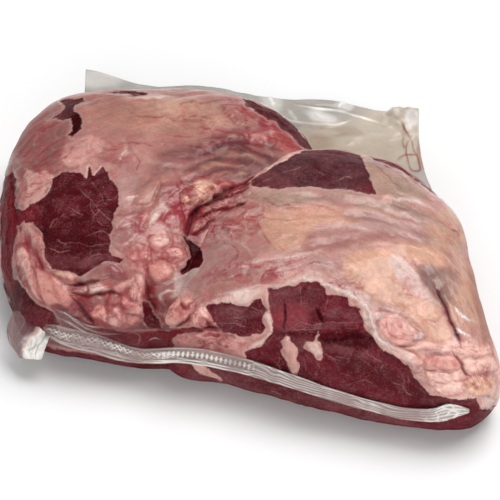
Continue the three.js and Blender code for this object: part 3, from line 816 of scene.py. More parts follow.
        "330,360 338,356 348,358",
        "356,356 366,362 376,372 382,378",
        "366,352 376,358 390,366 400,378",
        "384,362 380,372 388,382 398,386",
        "398,368 404,378 402,388 412,394",
        "408,376 412,384 422,390",
        "350,384 362,380 374,384",
        "262,352 270,358 280,366 284,374",
        "276,352 280,360 276,366",
        "304,364 308,372 318,376",
        "316,362 320,368 316,374",
        "312,168 322,173 330,176",
        "278,174 290,172 300,168",
        "336,180 346,177 356,181",
        "258,184 266,181 272,178",
        "262,388 274,392 286,398",
        "220,372 230,380 244,384",
    ],
    "lean_base": "lean_red",
    "lean_washes": [
        (315, 172, 70, 22, 0, "lean_brown", 1.0),
        (275, 180, 22, 8, -20, "lean_mauve", 0.6),
        (235, 318, 40, 20, 0, "burgundy", 0.6),
        (240, 312, 26, 6, 0, "lean_mauve", 0.9),
        (226, 320, 12, 6, 0, "lean_mauve", 0.5),
        (290, 305, 26, 20, 0, "lean_mauve", 0.7),
        (310, 296, 14, 10, 0, "burgundy", 0.6),
        (335, 312, 10, 5, 20, "lean_mauve", 1.0),
        (350, 316, 10, 4, -20, "lean_mauve", 0.8),
        (320, 325, 42, 3, 3, "lean_mauve", 0.7),
        (345, 340, 34, 10, 0, "lean_dark", 1.0),
        (350, 344, 26, 6, 10, "blood_dark", 0.6),
        (290, 318, 22, 16, 0, "lean_rose", 0.8),
        (285, 315, 1.6, 16, 0, "lean_dark", 0.9),
        (321, 314, 2, 9, 15, "lean_dark", 1.0),
        (305, 334, 34, 4, 0, "burgundy", 0.9),
        (300, 352, 40, 14, 0, "lean_red", 0.7),
        (302, 346, 9, 6, 0, "lean_mauve", 1.0),
        (345, 352, 24, 5, -10, "lean_mauve", 0.7),
        (360, 366, 26, 8, -20, "burgundy", 0.7),
        (395, 384, 44, 12, -25, "burgundy", 0.5),
        (400, 372, 22, 8, -40, "lean_red", 0.6),
        (450, 402, 30, 5, 0, "lean_mauve", 0.8),
        (165, 308, 12, 12, 0, "blood_dark", 0.8),
        (170, 340, 40, 12, 0, "blood", 1.0),
        (250, 386, 60, 9, -14, "lean_mauve", 0.9),
        (200, 374, 24, 6, 20, "lean_mauve", 0.8),
        (300, 395, 60, 8, -14, "burgundy", 0.7),
        (360, 412, 60, 6, -14, "lean_mauve", 0.8),
    ],
})


# What lies between the cheeks is marked on both. The crease and the hole there are painted dark red:
# blood in them, and painted shade of the deep recess.
BETWEEN = with_lines({
    "washes": [
        (190, 236, 9, 20, 10, "blood", 0.9),
        (206, 208, 26, 7, 38, "blood", 0.8),
        (240, 184, 26, 6, 25, "crimson", 0.7),
        (214, 212, 16, 7, 20, "clay", 0.8),
    ],
    "patches": [
        (1.2, "film_grey", 0.6, "173,274 182,276 196,266 200,270 190,282 180,296 172,300 174,286"),
    ],
    "flush": [
        (215, 208, 34, 18, 30, 0.7),
    ],
    "crumple": [
        (212, 208, 28, 12, 30, 0.8),
    ],
    "lumps": [
        (1.6, "clay", "199,211 208,203 219,202 228,201 229,206 219,212 209,216 201,217"),
        (1.4, "clay", "190,224 197,218 206,219 211,223 202,230 192,234"),
        (1.0, "ash", "240,193 250,183 254,188 252,196 243,198"),
        (1.0, "rose", "228,208 240,207 250,210 246,218 232,218 222,216"),
    ],
    "folds": [
        (4.5, -1.0, "blood", 0.8, "184,236 188,222 196,211 208,202 222,193 238,187 260,176"),
        (2.6, -1.8, "blood_dark", 0.9, "184,242 188,223 197,212 210,202 223,193 237,187 252,178"),
        (1.8, -1.2, "blood_dark", 1.0, "184,240 187,230 190,219 197,211 206,205"),
        (2.0, -1.0, "blood", 1.0, "196,218 206,217 216,211 226,207 243,204"),
        (2.0, -1.4, "blood_dark", 1.0, "234,205 240,206 246,203"),
        (1.8, -0.8, "blood", 0.9, "190,234 198,232 208,226 216,221"),
        (1.8, -0.8, "blood", 0.9, "210,203 222,198 236,196 248,190"),
        (1.4, -0.6, "crimson", 0.8, "220,222 232,221 244,226"),
        (1.2, 0.5, "blush", 0.7, "200,206 209,198 220,190"),
    ],
    "windows": [
        ("183,236 189,240 194,243 199,247 203,254 204,261 200,268 191,270 182,275 179,272 186,265 "
         "190,256 187,247"),
    ],
    "lean_washes": [
        (192, 256, 16, 24, 0, "lean_dark", 1.0),
    ],
})
for key, marks in BETWEEN.items():
    LEFT[key] += marks
    RIGHT[key] += marks


# ---------------------------------------------------------------- painting and relief
def ellipse_distance(places, x, y, half_width, half_height, turn):
    angle = math.radians(turn)
    across = places - (x, y)
    u = across[:, 0] * math.cos(angle) - across[:, 1] * math.sin(angle)
    v = across[:, 0] * math.sin(angle) + across[:, 1] * math.cos(angle)
    return np.hypot(u / half_width, v / half_height)


def wavering(places, points, size, amount):
    """The places moved about by noise, so that outlines waver as cut and torn ones do."""
    shifts = [noise(points / size + offset) for offset in ((3, 11, 5), (17, 2, 9))]
    return places + amount * np.column_stack(shifts)


def torn(places, points):
    return wavering(wavering(places, points, 8.0, 3.2), points, 3.0, 1.7)


def paint(colour, places, washes):
    for *ellipse, name, strength in washes:
        weight = strength * smooth(1.3, 0.6, ellipse_distance(places, *ellipse))[:, None]
        colour += weight * (tone(name) - colour)


def zone(places, ellipses):
    """How strongly each place lies in any of the soft ellipses."""
    amount = np.zeros(len(places))
    for *ellipse, strength in ellipses:
        near = smooth(1.35, 0.55, ellipse_distance(places, *ellipse))
        amount = np.maximum(amount, strength * near)
    return amount


def fold_lines(places, points, folds):
    """Each fold's share at the places; it is uneven and thins out towards its ends."""
    uneven = np.clip(0.85 + 0.55 * noise(points / 4.5 + 21), 0, 1.2)
    for width, height, name, strength, corners in folds:
        line = curve_points(corners, steps=5)
        share = np.zeros(len(places))
        close = close_to(places, line, 3 * width)
        distance, _, at = line_distance(places[close], line)
        ends = smooth(0, 0.25, at) * smooth(1, 0.75, at)
        share[close] = thin_line(distance, width * (0.45 + 0.55 * ends)) * (0.4 + 0.6 * ends)
        yield share * uneven, height, name, strength


def lump_domes(places, lumps):
    """Each lump's rounded height at the places, from 0 to 1, and the depth inside its outline."""
    for rise, name, corners in lumps:
        depth = inside_depth(places, corners, 6.0)
        reach = min(6.0, max(depth.max(), 1.0))
        dome = np.sqrt(np.clip(1 - (1 - np.clip(depth / reach, 0, 1)) ** 2, 0, 1))
        yield rise, name, depth, dome


def cracks(points):
    """Cracks between the lobules of crumpled fat, from 0 to 1."""
    bent = points + 2.6 * np.column_stack([noise(points / 6 + k * 7.7) for k in range(3)])
    coarse = smooth(0.15, 0.0, np.abs(noise(bent / 6.5)))
    fine = smooth(0.17, 0.0, np.abs(noise(bent / 3.4 + 11)))
    return np.maximum(coarse, 0.6 * fine)


def relief(points, places, features):
    """The height of the lumps and folds above the smooth form, in millimetres."""
    places = torn(places, points)
    height = np.zeros(len(points))
    for rise, _, depth, dome in lump_domes(places, features["lumps"]):
        height = np.maximum(height, 0.75 * rise * dome) - 0.2 * thin_line(depth + 0.5, 1.2)
    for share, rise, _, _ in fold_lines(places, points, features["folds"]):
        height += rise * share
    crumpled = zone(places, features["crumple"])
    height += crumpled * (1.2 * noise(points / 5.2) + 0.25 * noise(points / 2.3))
    height -= 0.8 * crumpled * cracks(points)
    return height


def colours(points, places, features):
    """The tone of the fat and of the lean at each point."""
    wide = wavering(places, points, 9.0, 5.0)
    fine = torn(places, points)
    fat = np.tile(tone(features["base"]), (len(points), 1))
    paint(fat, wide, features["washes"])
    for soft, name, strength, corners in features["patches"]:
        depth = inside_depth(fine, corners, 3 * soft)
        fat += strength * smooth(-soft, soft, depth)[:, None] * (tone(name) - fat)
    fat *= (1 + 0.14 * noise(points / 9) + 0.10 * noise(points / 3.4))[:, None]
    crumpled = zone(fine, features["crumple"])
    split = (crumpled * cracks(points))[:, None]
    fat += 0.20 * crumpled[:, None] * (tone("rose_red") - fat)
    fat += 0.8 * split * (tone("crimson") - fat)
    broken = np.clip(0.65 + 0.6 * noise(points / 3.1), 0, 1)
    swirled = wavering(wavering(places, points, 6.5, 4.0), points, 2.5, 2.0)
    for _, name, depth, dome in lump_domes(swirled, features["lumps"]):
        body = 0.82 * smooth(-2.4, 2.8, depth)[:, None] * (1 - 0.5 * split)
        # Painted shading and highlight: each lump's tone is darker at its edge and lighter towards its
        # crown.
        fat += body * (tone(name) * (0.84 + 0.30 * dome[:, None]) - fat)
        fat += (0.42 * broken * thin_line(depth + 0.8, 1.4))[:, None] * (tone("crimson") - fat)
    for share, _, name, strength in fold_lines(fine, points, features["folds"]):
        fat += (strength * share)[:, None] * (tone(name) - fat)
    lean = np.tile(tone(features["lean_base"]), (len(points), 1))
    paint(lean, wavering(places, points, 6.0, 2.5), features["lean_washes"])
    lean *= (1 + 0.16 * noise(points / 7 + 3) + 0.12 * noise(points / 3))[:, None]
    return np.clip(fat, 0, 1), np.clip(lean, 0, 1)


def crevices(places, features):
    """The distance to the nearest groove, in millimetres, below 0 on one side of it."""
    grooves = [corners for width, height, _, _, corners in features["folds"]
               if height < -0.75 and width < 3]
    return nearest_line(places, grooves)


def bare_lean(places, features):
    """How far each place is inside a window of bare lean, in millimetres."""
    depth = np.full(len(places), -OUTLINE_REACH)
    for corners in features["windows"]:
        depth = np.maximum(depth, inside_depth(places, corners))
    for corners in features["slivers"]:
        depth = np.minimum(depth, -inside_depth(places, corners))
    return depth / PIXELS_PER_MM


def nearest_line(places, lines):
    """The distance to the nearest of some thin lines, below 0 on one side of it."""
    nearest = np.full(len(places), LINE_REACH)
    for corners in lines:
        line = curve_points(corners, steps=4)
        close = np.flatnonzero(close_to(places, line, LINE_REACH))
        distance, side, _ = line_distance(places[close], line)
        closer = distance < np.abs(nearest[close])
        nearest[close[closer]] = (distance * side)[closer]
    return nearest / PIXELS_PER_MM


# ---------------------------------------------------------------- the form of a cheek
def rim_radius(rim, middle):
    line = curve_points(rim, closed=True, steps=40) - middle
    angle = np.arctan2(line[:, 1], line[:, 0])
    order = np.argsort(angle)
    return lambda at: np.interp(at, angle[order], np.hypot(*line[order].T), period=2 * math.pi)


def cheek_skin(unit, rim, middle, crown, boxy_front, boxy_back):
    """The points of a sphere moved out to the rim and up to the crown, as in the solid."""
    flat = np.hypot(unit[:, 0], unit[:, 1])
    angle = np.arctan2(unit[:, 1], unit[:, 0])
    back = 0.5 + 0.5 * np.sin(angle)
    boxy = np.where(unit[:, 2] < 0, BOXY_UNDERSIDE, boxy_front + (boxy_back - boxy_front) * back)
    norm = (flat ** boxy + np.abs(unit[:, 2]) ** boxy) ** (1 / boxy)
    out = flat / norm * rim_radius(rim, np.array(middle))(angle)
    rise = unit[:, 2] / norm
    z = np.where(rise > 0, SEAL_HEIGHT + rise * (crown - SEAL_HEIGHT),
                 SEAL_HEIGHT + rise * (SEAL_HEIGHT + FOOT_DEPTH))
    x = middle[0] + out * np.cos(angle)
    y = middle[1] + out * np.sin(angle)
    return np.column_stack([x, y, np.maximum(z, 0)])


def cube_sphere(cuts):
    """A bmesh cube cut into a fine grid and blown up to a unit sphere."""
    bm = bmesh.new()
    bmesh.ops.create_cube(bm, size=2)
    bmesh.ops.subdivide_edges(bm, edges=bm.edges[:], cuts=cuts, use_grid_fill=True)
    mesh = bpy.data.meshes.new("cube_sphere")
    bm.to_mesh(mesh)
    bm.free()
    p = read_vectors(mesh, "co")
    p = np.tan(p * (math.pi / 4))  # evens out the spacing over each face
    p /= np.linalg.norm(p, axis=1)[:, None]
    height = np.arcsin(np.clip(p[:, 2], -1, 1))
    height += TOP_SHARE * np.cos(height) ** 2
    flat = p[:, :2] / np.maximum(np.hypot(p[:, 0], p[:, 1]), 1e-9)[:, None]
    return mesh, np.column_stack([flat * np.cos(height)[:, None], np.sin(height)])


def read_vectors(mesh, field):
    values = np.empty(len(mesh.vertices) * 3, np.float32)
    mesh.vertices.foreach_get(field, values)
    return values.reshape(-1, 3).astype(float)


def write_points(mesh, points):
    mesh.vertices.foreach_set("co", points.astype(np.float32).ravel())
    mesh.update()


def add_attribute(mesh, name, values):
    kind, field = {1: ("FLOAT", "value"), 3: ("FLOAT_VECTOR", "vector")}[
        1 if values.ndim == 1 else values.shape[1]]
    attribute = mesh.attributes.new(name, kind, "POINT")
    attribute.data.foreach_set(field, values.astype(np.float32).ravel())


def to_frame(points):
    return (points - DRAWING_CENTRE) * MM


def flow_left(points):
    """Along and across the streaks of the left cheek, which run from back right to front left."""
    along_it = points[:, 0] * 0.75 + points[:, 1] * 0.66
    across_it = points[:, 0] * -0.66 + points[:, 1] * 0.75
    return along_it, across_it + 5 * noise(points / 30)


def flow_right(points):
    """Along and across the streaks of the right cheek, which sweep round its front."""
    x, y = points[:, 0] - 40, points[:, 1] + 60
    return 75 * np.arctan2(x, y + 1e-6), np.hypot(x, y) + 3 * noise(points / 24)


def hidden_side(points, features):
    """Tones and bare lean for the sides that the photograph doesn't show."""
    broad = noise(points / 26 + 5.3) + 0.5 * noise(points / 11 + 9.1)
    fat = np.tile(tone("rose"), (len(points), 1))
    fat += smooth(-0.6, 0.7, broad)[:, None] * (tone("cream") - fat)
    streak = smooth(0.2, 0.8, noise(points / (6, 6, 3) + 2.2))[:, None]
    fat += 0.5 * streak * (tone("rose_red") - fat)
    lean = np.tile(tone(features["lean_base"]), (len(points), 1))
    lean *= (1 + 0.25 * noise(points / 7 + 3) + 0.15 * noise(points / 3))[:, None]
    low = smooth(16, 4, points[:, 2])  # the underside is mostly lean
    depth = 6 * (noise(points / 30 + 1.7) + 0.4 * noise(points / 9 + 4.4)) - 3 + 9 * low
    return np.clip(fat, 0, 1), np.clip(lean, 0, 1), depth


NO_LINE = 9.0  # millimetres: a distance at which no line shows
LEAN_REACH = 8.0  # millimetres from the edge of a window, beyond which its depth doesn't matter
LEAN_SUNK = 0.8  # how far the bare lean lies below the fat, in millimetres


def window_depth(points, places, features):
    """How far inside a window of bare lean each place is, and the places themselves, wavered."""
    fine = wavering(places, points, 4.0, 1.7)
    return bare_lean(fine, features), fine


def make_cheek(name, features, flow, **form):
    mesh, unit = cube_sphere(CUTS)
    mesh.name = name
    smooth_form = cheek_skin(unit, **form)
    write_points(mesh, smooth_form)
    normals = read_vectors(mesh, "normal")
    seen = smooth(-0.02, 0.12, normals @ VIEW_BACK)
    along_it, across_it = flow(smooth_form)
    streaks = np.column_stack([along_it / 18, across_it / 4, smooth_form[:, 2] / 12])
    swells = noise(smooth_form / 14) * 0.8 + noise(streaks) * 0.35 + noise(smooth_form / 4) * 0.12
    table = smooth(0.5, 6, smooth_form[:, 2])
    points = smooth_form
    for _ in range(2):
        places = in_photo(points)
        lean_depth, _ = window_depth(smooth_form, places, features)
        sunk = -LEAN_SUNK * smooth(-0.8, 1.0, lean_depth)
        height = seen * (relief(smooth_form, places, features) + sunk) + swells
        points = smooth_form + normals * (table * height)[:, None]
    places = in_photo(points)
    fat, lean = colours(smooth_form, places, features)
    lean_depth, fine = window_depth(smooth_form, places, features)
    hidden_fat, hidden_lean, hidden_depth = hidden_side(smooth_form, features)
    fat = hidden_fat + seen[:, None] * (fat - hidden_fat)
    lean = hidden_lean + seen[:, None] * (lean - hidden_lean)
    lean_depth = np.clip(lean_depth, -LEAN_REACH, LEAN_REACH)
    lean_depth = hidden_depth + seen * (lean_depth - hidden_depth)
    write_points(mesh, to_frame(points))
    add_attribute(mesh, "fat_tone", fat)
    add_attribute(mesh, "lean_tone", lean)
    add_attribute(mesh, "lean_depth", lean_depth)
    add_attribute(mesh, "flush", 0.3 + seen * (zone(fine, features["flush"]) - 0.3))
    add_attribute(mesh, "shine", 1 - seen * zone(fine, features["dull"]))
    line_kinds = {
        "crevice": crevices(torn(places, smooth_form), features),
        "vein": nearest_line(fine, features["veins"]),
        "thread": nearest_line(fine, features["threads"]),
    }
    for kind, distance in line_kinds.items():
        add_attribute(mesh, kind, NO_LINE + seen * (distance - NO_LINE))
    add_attribute(mesh, "streak", np.column_stack([along_it, across_it, smooth_form[:, 2]]))
    return finish_piece(name, mesh)


def add_object(name, data):
    added = bpy.data.objects.new(name, data)
    bpy.context.scene.collection.objects.link(added)
    return added


def finish_piece(name, mesh):
    mesh.polygons.foreach_set("use_smooth", np.ones(len(mesh.polygons), bool))
    return add_object(name, mesh)


# ---------------------------------------------------------------- materials
def new_material(name):
    material = bpy.data.materials.new(name)
    material.use_nodes = True
    material.node_tree.nodes.clear()
    return material


def node(tree, kind, inputs=None, output=0, stops=None, **settings):
    """Adds a node with its settings and inputs, each a value or a link, and gives one output."""
    made = tree.nodes.new("ShaderNode" + kind)
    for key, value in settings.items():
        setattr(made, key, value)
    for key, value in (inputs or {}).items():
        if isinstance(value, bpy.types.NodeSocket):
            tree.links.new(value, made.inputs[key])
        else:
            made.inputs[key].default_value = value
    for k, (position, value) in enumerate(stops or []):
        elements = made.color_ramp.elements
        element = elements[k] if k < 2 else elements.new(position)
        element.position = position
        element.color = (value, value, value, 1)
    return made.outputs[output] if len(made.outputs) else made


def per_mm(size):
    """The scale of a pattern on coordinates in metres, for a pattern of that size in mm."""
    return 1000 / size


def shade(hex_colour):
    return (*linear(hex_colour), 1)


def mixed(tree, share, under, over, blend="MIX"):
    return node(tree, "Mix", {0: share, 6: under, 7: over}, 2, data_type="RGBA", blend_type=blend)


def ramp(tree, value, *stops):
    return node(tree, "ValToRGB", {"Fac": value}, stops=stops)


def maths(tree, operation, *values):
    return node(tree, "Math", dict(enumerate(values)), operation=operation)


def attribute(tree, name, output="Fac"):
    return node(tree, "Attribute", output=output, attribute_name=name)


def cloud(tree, place, scale, detail, roughness, distortion=0.0):
    return node(tree, "TexNoise", {"Vector": place, "Scale": scale, "Detail": detail,
                                   "Roughness": roughness, "Distortion": distortion})


def fade(tree, distance, reach, interpolation="LINEAR"):
    """From 1 where the distance is 0 down to 0 at its reach."""
    return node(tree, "MapRange", {"Value": distance, "From Min": reach, "From Max": 0.0},
                interpolation_type=interpolation)


def thin(tree, pattern, width, interpolation="LINEAR"):
    """Thin lines where a pattern passes its middle value."""
    off = maths(tree, "ABSOLUTE", maths(tree, "SUBTRACT", pattern, 0.5))
    return fade(tree, off, width, interpolation)


def near_line(tree, name, bend):
    """The distance in millimetres to the nearest line of a kind, bent so that its width varies."""
    return maths(tree, "ABSOLUTE", maths(tree, "ADD", attribute(tree, name), bend))


def flesh_material(name):
    """Raw beef under clinging film: moist fat marbled with blood, and dark lean with wisps of
    membrane. The film lies tight on it, so it shines like a varnish."""
    material = new_material(name)
    tree = material.node_tree
    place = node(tree, "TexCoord", output="Object")
    streak = attribute(tree, "streak", "Vector")
    flushed = attribute(tree, "flush")
    depth = attribute(tree, "lean_depth")

    # Patterns: along the grain, over it, and in fine grains.
    bands = node(tree, "Mapping", {"Vector": streak, "Scale": (1 / 22, 1 / 5, 1 / 10)})
    marble = cloud(tree, bands, 1.0, 6.0, 0.6, 0.8)
    threads = node(tree, "Mapping", {"Vector": streak, "Scale": (1 / 13, 1 / 2.2, 1 / 5)})
    fibres = cloud(tree, threads, 1.0, 3.0, 0.5, 0.9)
    mottle = cloud(tree, place, per_mm(6), 6.0, 0.65, 0.8)
    blotch = cloud(tree, place, per_mm(14), 5.0, 0.6, 1.0)
    grain = cloud(tree, place, per_mm(1.3), 3.0, 0.6)

    # Fat: marbled along the grain, with flushed blotches and pale blotches, the pale ones painted sheen.
    fat = attribute(tree, "fat_tone", "Vector")
    light = ramp(tree, marble, (0.3, 0.80), (0.7, 1.16))
    fat = mixed(tree, 1.0, fat, light, "MULTIPLY")
    light = ramp(tree, grain, (0.25, 0.86), (0.75, 1.12))
    fat = mixed(tree, 1.0, fat, light, "MULTIPLY")
    pale = ramp(tree, blotch, (0.30, 0.26), (0.46, 0.0))
    fat = mixed(tree, pale, fat, shade("d8b4a6"))
    flush = ramp(tree, mottle, (0.44, 0.0), (0.66, 1.0))
    amount = maths(tree, "MULTIPLY_ADD", flushed, 0.45, 0.20)
    flush = maths(tree, "MULTIPLY", flush, amount)
    fat = mixed(tree, flush, fat, shade("b0444c"))

    # Blood stains with ragged edges, pink round a dark middle, and between them pale pink patches that
    # are painted highlights.
    stains = cloud(tree, place, per_mm(10), 4.0, 0.54, 1.3)
    for low, high, stain_and_sheen in (((0.34, 0.45), (0.46, 0.0), "edc8bb"),
                             ((0.50, 0.0), (0.60, 0.6), "ae4a52"),
                             ((0.56, 0.0), (0.64, 0.9), "7a1522")):
        share = maths(tree, "MULTIPLY", ramp(tree, stains, low, high), flushed)
        fat = mixed(tree, share, fat, shade(stain_and_sheen))

    # Fine blood vessels in it: short streaks along the grain and a net of capillaries.
    lines = thin(tree, fibres, 0.035)
    some = ramp(tree, blotch, (0.46, 0.0), (0.62, 1.0))
    lines = maths(tree, "MULTIPLY", lines, some)
    amount = maths(tree, "MULTIPLY_ADD", flushed, 0.35, 0.30)
    lines = maths(tree, "MULTIPLY", lines, amount)
    fat = mixed(tree, lines, fat, shade("7e222b"))
    net = cloud(tree, place, per_mm(8), 4.0, 0.6, 1.6)
    net = thin(tree, net, 0.075, "SMOOTHSTEP")
    some = ramp(tree, marble, (0.42, 0.0), (0.58, 1.0))
    net = maths(tree, "MULTIPLY", net, some)
    amount = maths(tree, "MULTIPLY_ADD", flushed, 0.62, 0.05)
    net = maths(tree, "MULTIPLY", net, amount)
    fat = mixed(tree, net, fat, shade("7c1824"))

    # The larger vessels and the crevices, each of uneven width.
    bend = maths(tree, "MULTIPLY_ADD", grain, 1.4, -0.7)
    vein = fade(tree, near_line(tree, "vein", bend), 0.95, "SMOOTHSTEP")
    some = ramp(tree, mottle, (0.38, 0.08), (0.62, 0.60))
    vein = maths(tree, "MULTIPLY", vein, some)
    fat = mixed(tree, vein, fat, shade("7c1f2a"))
    near = near_line(tree, "crevice", bend)
    crevice = fade(tree, near, 0.95)
    some = ramp(tree, mottle, (0.36, 0.05), (0.62, 0.85))
    crevice = maths(tree, "MULTIPLY", crevice, some)
    fat = mixed(tree, crevice, fat, shade("741a26"))
    # Painted shade: the fat is darkened towards the bottom of each crevice.
    hollow_shade = fade(tree, near, 1.7, "SMOOTHSTEP")
    deep = maths(tree, "MULTIPLY", hollow_shade, 0.6)
    fat = mixed(tree, deep, fat, shade("a05058"), "MULTIPLY")

    # Lean: dark meat, coarse and uneven, with wisps and threads of pale membrane on it.
    lean = attribute(tree, "lean_tone", "Vector")
    light = ramp(tree, grain, (0.3, 0.70), (0.72, 1.35))
    lean = mixed(tree, 1.0, lean, light, "MULTIPLY")
    red = node(tree, "SeparateColor", {"Color": lean})
    clear = node(tree, "MapRange", {"Value": red, "From Min": 0.03, "From Max": 0.075})
    haze = ramp(tree, mottle, (0.46, 0.0), (0.70, 0.34))
    haze = maths(tree, "MULTIPLY", haze, clear)
    lean = mixed(tree, haze, lean, shade("7a3e44"))
    deep = ramp(tree, blotch, (0.34, 0.7), (0.48, 0.0))
    lean = mixed(tree, deep, lean, shade("4c0610"))
    wisps = cloud(tree, place, per_mm(4.0), 5.0, 0.62, 2.8)
    wisps = thin(tree, wisps, 0.024)
    some = ramp(tree, mottle, (0.38, 0.03), (0.62, 0.62))
    wisps = maths(tree, "MULTIPLY", wisps, some)
    wisps = maths(tree, "MULTIPLY", wisps, clear)
    lean = mixed(tree, wisps, lean, shade("a07072"))
    thread = fade(tree, near_line(tree, "thread", bend), 0.30)
    some = ramp(tree, mottle, (0.40, 0.0), (0.62, 0.55))
    thread = maths(tree, "MULTIPLY", thread, some)
    lean = mixed(tree, thread, lean, shade("b08682"))

    # The edge of the fat over the lean is torn, and a little paler.
    torn_edge = maths(tree, "MULTIPLY_ADD", mottle, 3.0, -1.5)
    ragged = maths(tree, "ADD", depth, torn_edge)
    ragged = maths(tree, "ADD", ragged, bend)
    bare = node(tree, "MapRange", {"Value": ragged, "From Min": -0.2, "From Max": 0.35})
    rim = node(tree, "MapRange", {"Value": ragged, "From Min": -1.4, "From Max": -0.2,
                                  "To Max": 0.25})
    fat = mixed(tree, rim, fat, shade("d9b3a8"))
    colour = mixed(tree, bare, fat, lean)

    # The film lies closest on the fat; over the lean it shines less.
    shine = node(tree, "MapRange", {"Value": bare, "To Min": 0.70, "To Max": 0.10})
    dull = node(tree, "MapRange", {"Value": hollow_shade, "To Min": 1.0, "To Max": 0.4})
    shine = maths(tree, "MULTIPLY", shine, dull)
    share = attribute(tree, "shine")
    shine = maths(tree, "MULTIPLY", shine, share)
    gloss = node(tree, "MapRange", {"Value": bare, "To Min": 0.15, "To Max": 0.04})
    bump = node(tree, "Bump", {"Height": fibres, "Strength": 0.35, "Distance": 0.3 * MM})
    lobules = cloud(tree, place, per_mm(7), 2.0, 0.5, 0.6)
    lumpy = maths(tree, "MULTIPLY_ADD", flushed, 0.7, 0.2)
    bump = node(tree, "Bump", {"Height": lobules, "Strength": lumpy, "Distance": 1.4 * MM,
                               "Normal": bump})
    wrinkles = node(tree, "Mapping", {"Vector": streak, "Scale": (1 / 12, 1 / 3.5, 1 / 6)})
    wrinkles = cloud(tree, wrinkles, 1.0, 3.0, 0.5, 0.8)
    film_bump = node(tree, "Bump", {"Height": wrinkles, "Strength": 0.28, "Distance": 1.0 * MM,
                                    "Normal": bump})
    shader = node(tree, "BsdfPrincipled", {
        "Base Color": colour, "Roughness": 0.55, "IOR": 1.4, "Specular IOR Level": gloss,
        "Subsurface Weight": 0.1, "Subsurface Radius": (1.0, 0.35, 0.2),
        "Subsurface Scale": 1.2 * MM, "Coat Weight": shine, "Coat Roughness": 0.12,
        "Coat IOR": 1.4, "Normal": bump, "Coat Normal": film_bump})
    node(tree, "OutputMaterial", {"Surface": shader})
    return material


def film_material(name, roughness, wrinkle):
    """Clear shrink film, blown polyethylene: glossy, hazy where two sheets lie together, and white along
    its creases. Its cover and tone are worked out for each piece, and on some pieces the tone holds
    painted highlights and painted shade."""
    material = new_material(name)
    tree = material.node_tree
    place = node(tree, "TexCoord", output="Object")
    clouds = cloud(tree, place, per_mm(14), 5.0, 0.6)
    creases = cloud(tree, place, per_mm(wrinkle), 4.0, 0.5, 0.8)
    cover = attribute(tree, "film_cover")
    colour = attribute(tree, "film_tone", "Vector")
    light = ramp(tree, clouds, (0.3, 0.88), (0.7, 1.1))
    colour = mixed(tree, 1.0, colour, light, "MULTIPLY")
    bump = node(tree, "Bump", {"Height": creases, "Strength": 0.6, "Distance": 0.8 * MM})
    shader = node(tree, "BsdfPrincipled", {"Base Color": colour, "Alpha": cover,
                                           "Roughness": roughness, "IOR": 1.5, "Normal": bump})
    node(tree, "OutputMaterial", {"Surface": shader})
    return material


# ---------------------------------------------------------------- the film
def make_sheet(name, columns, rows, shape, thickness):
    """A sheet of film: shape gives its points and its marks from u along it and v across it."""
    bm = bmesh.new()
    bmesh.ops.create_grid(bm, x_segments=columns, y_segments=rows, size=1)
    mesh = bpy.data.meshes.new(name)
    bm.to_mesh(mesh)
    bm.free()
    grid = read_vectors(mesh, "co") / 2 + 0.5
    points, film_tone, cover = shape(grid[:, 0], grid[:, 1])
    write_points(mesh, to_frame(points))
    add_attribute(mesh, "film_tone", film_tone)
    add_attribute(mesh, "film_cover", np.clip(cover, 0, 1))
    piece = finish_piece(name, mesh)
    wall = piece.modifiers.new("wall", "SOLIDIFY")
    wall.thickness = thickness * MM
    wall.offset = 0
    return piece


def marked(places, points, marks, cover, bulge):
    """Paints a sheet's marks, and adds what they do to its cover and its bulge."""
    film_tone = np.tile(tone(marks["base"]), (len(places), 1))
    paint(film_tone, wavering(places, points, 6, 2), marks["washes"])
    lines = fold_lines(wavering(places, points, 5, 0.8), points, marks["folds"])
    for share, rise, name, strength in lines:
        bulge += rise * share
        film_tone += (strength * share)[:, None] * (tone(name) - film_tone)
        cover += 0.4 * strength * share
    return film_tone


TAIL_ROOT = [(-99, 60, 24), (-78, 70, 24), (-40, 78, 24), (-15, 76, 24), (15, 56, 24), (45, 50, 24),
             (88, 34, 24)]
TAIL_EDGE = [(-111, 103, 19), (-84, 107, 16), (-52, 110, 14), (-26, 114, 15), (0, 115, 13),
             (30, 120, 13), (57, 117, 16)]
TAIL_WAVE_LENGTH = 62.0
TAIL_WAVE_HEIGHT = 2.5
TAIL_WAIST = 5.0
TAIL_KNOT = (52.0, 113.0)  # the corner where the tail is gathered
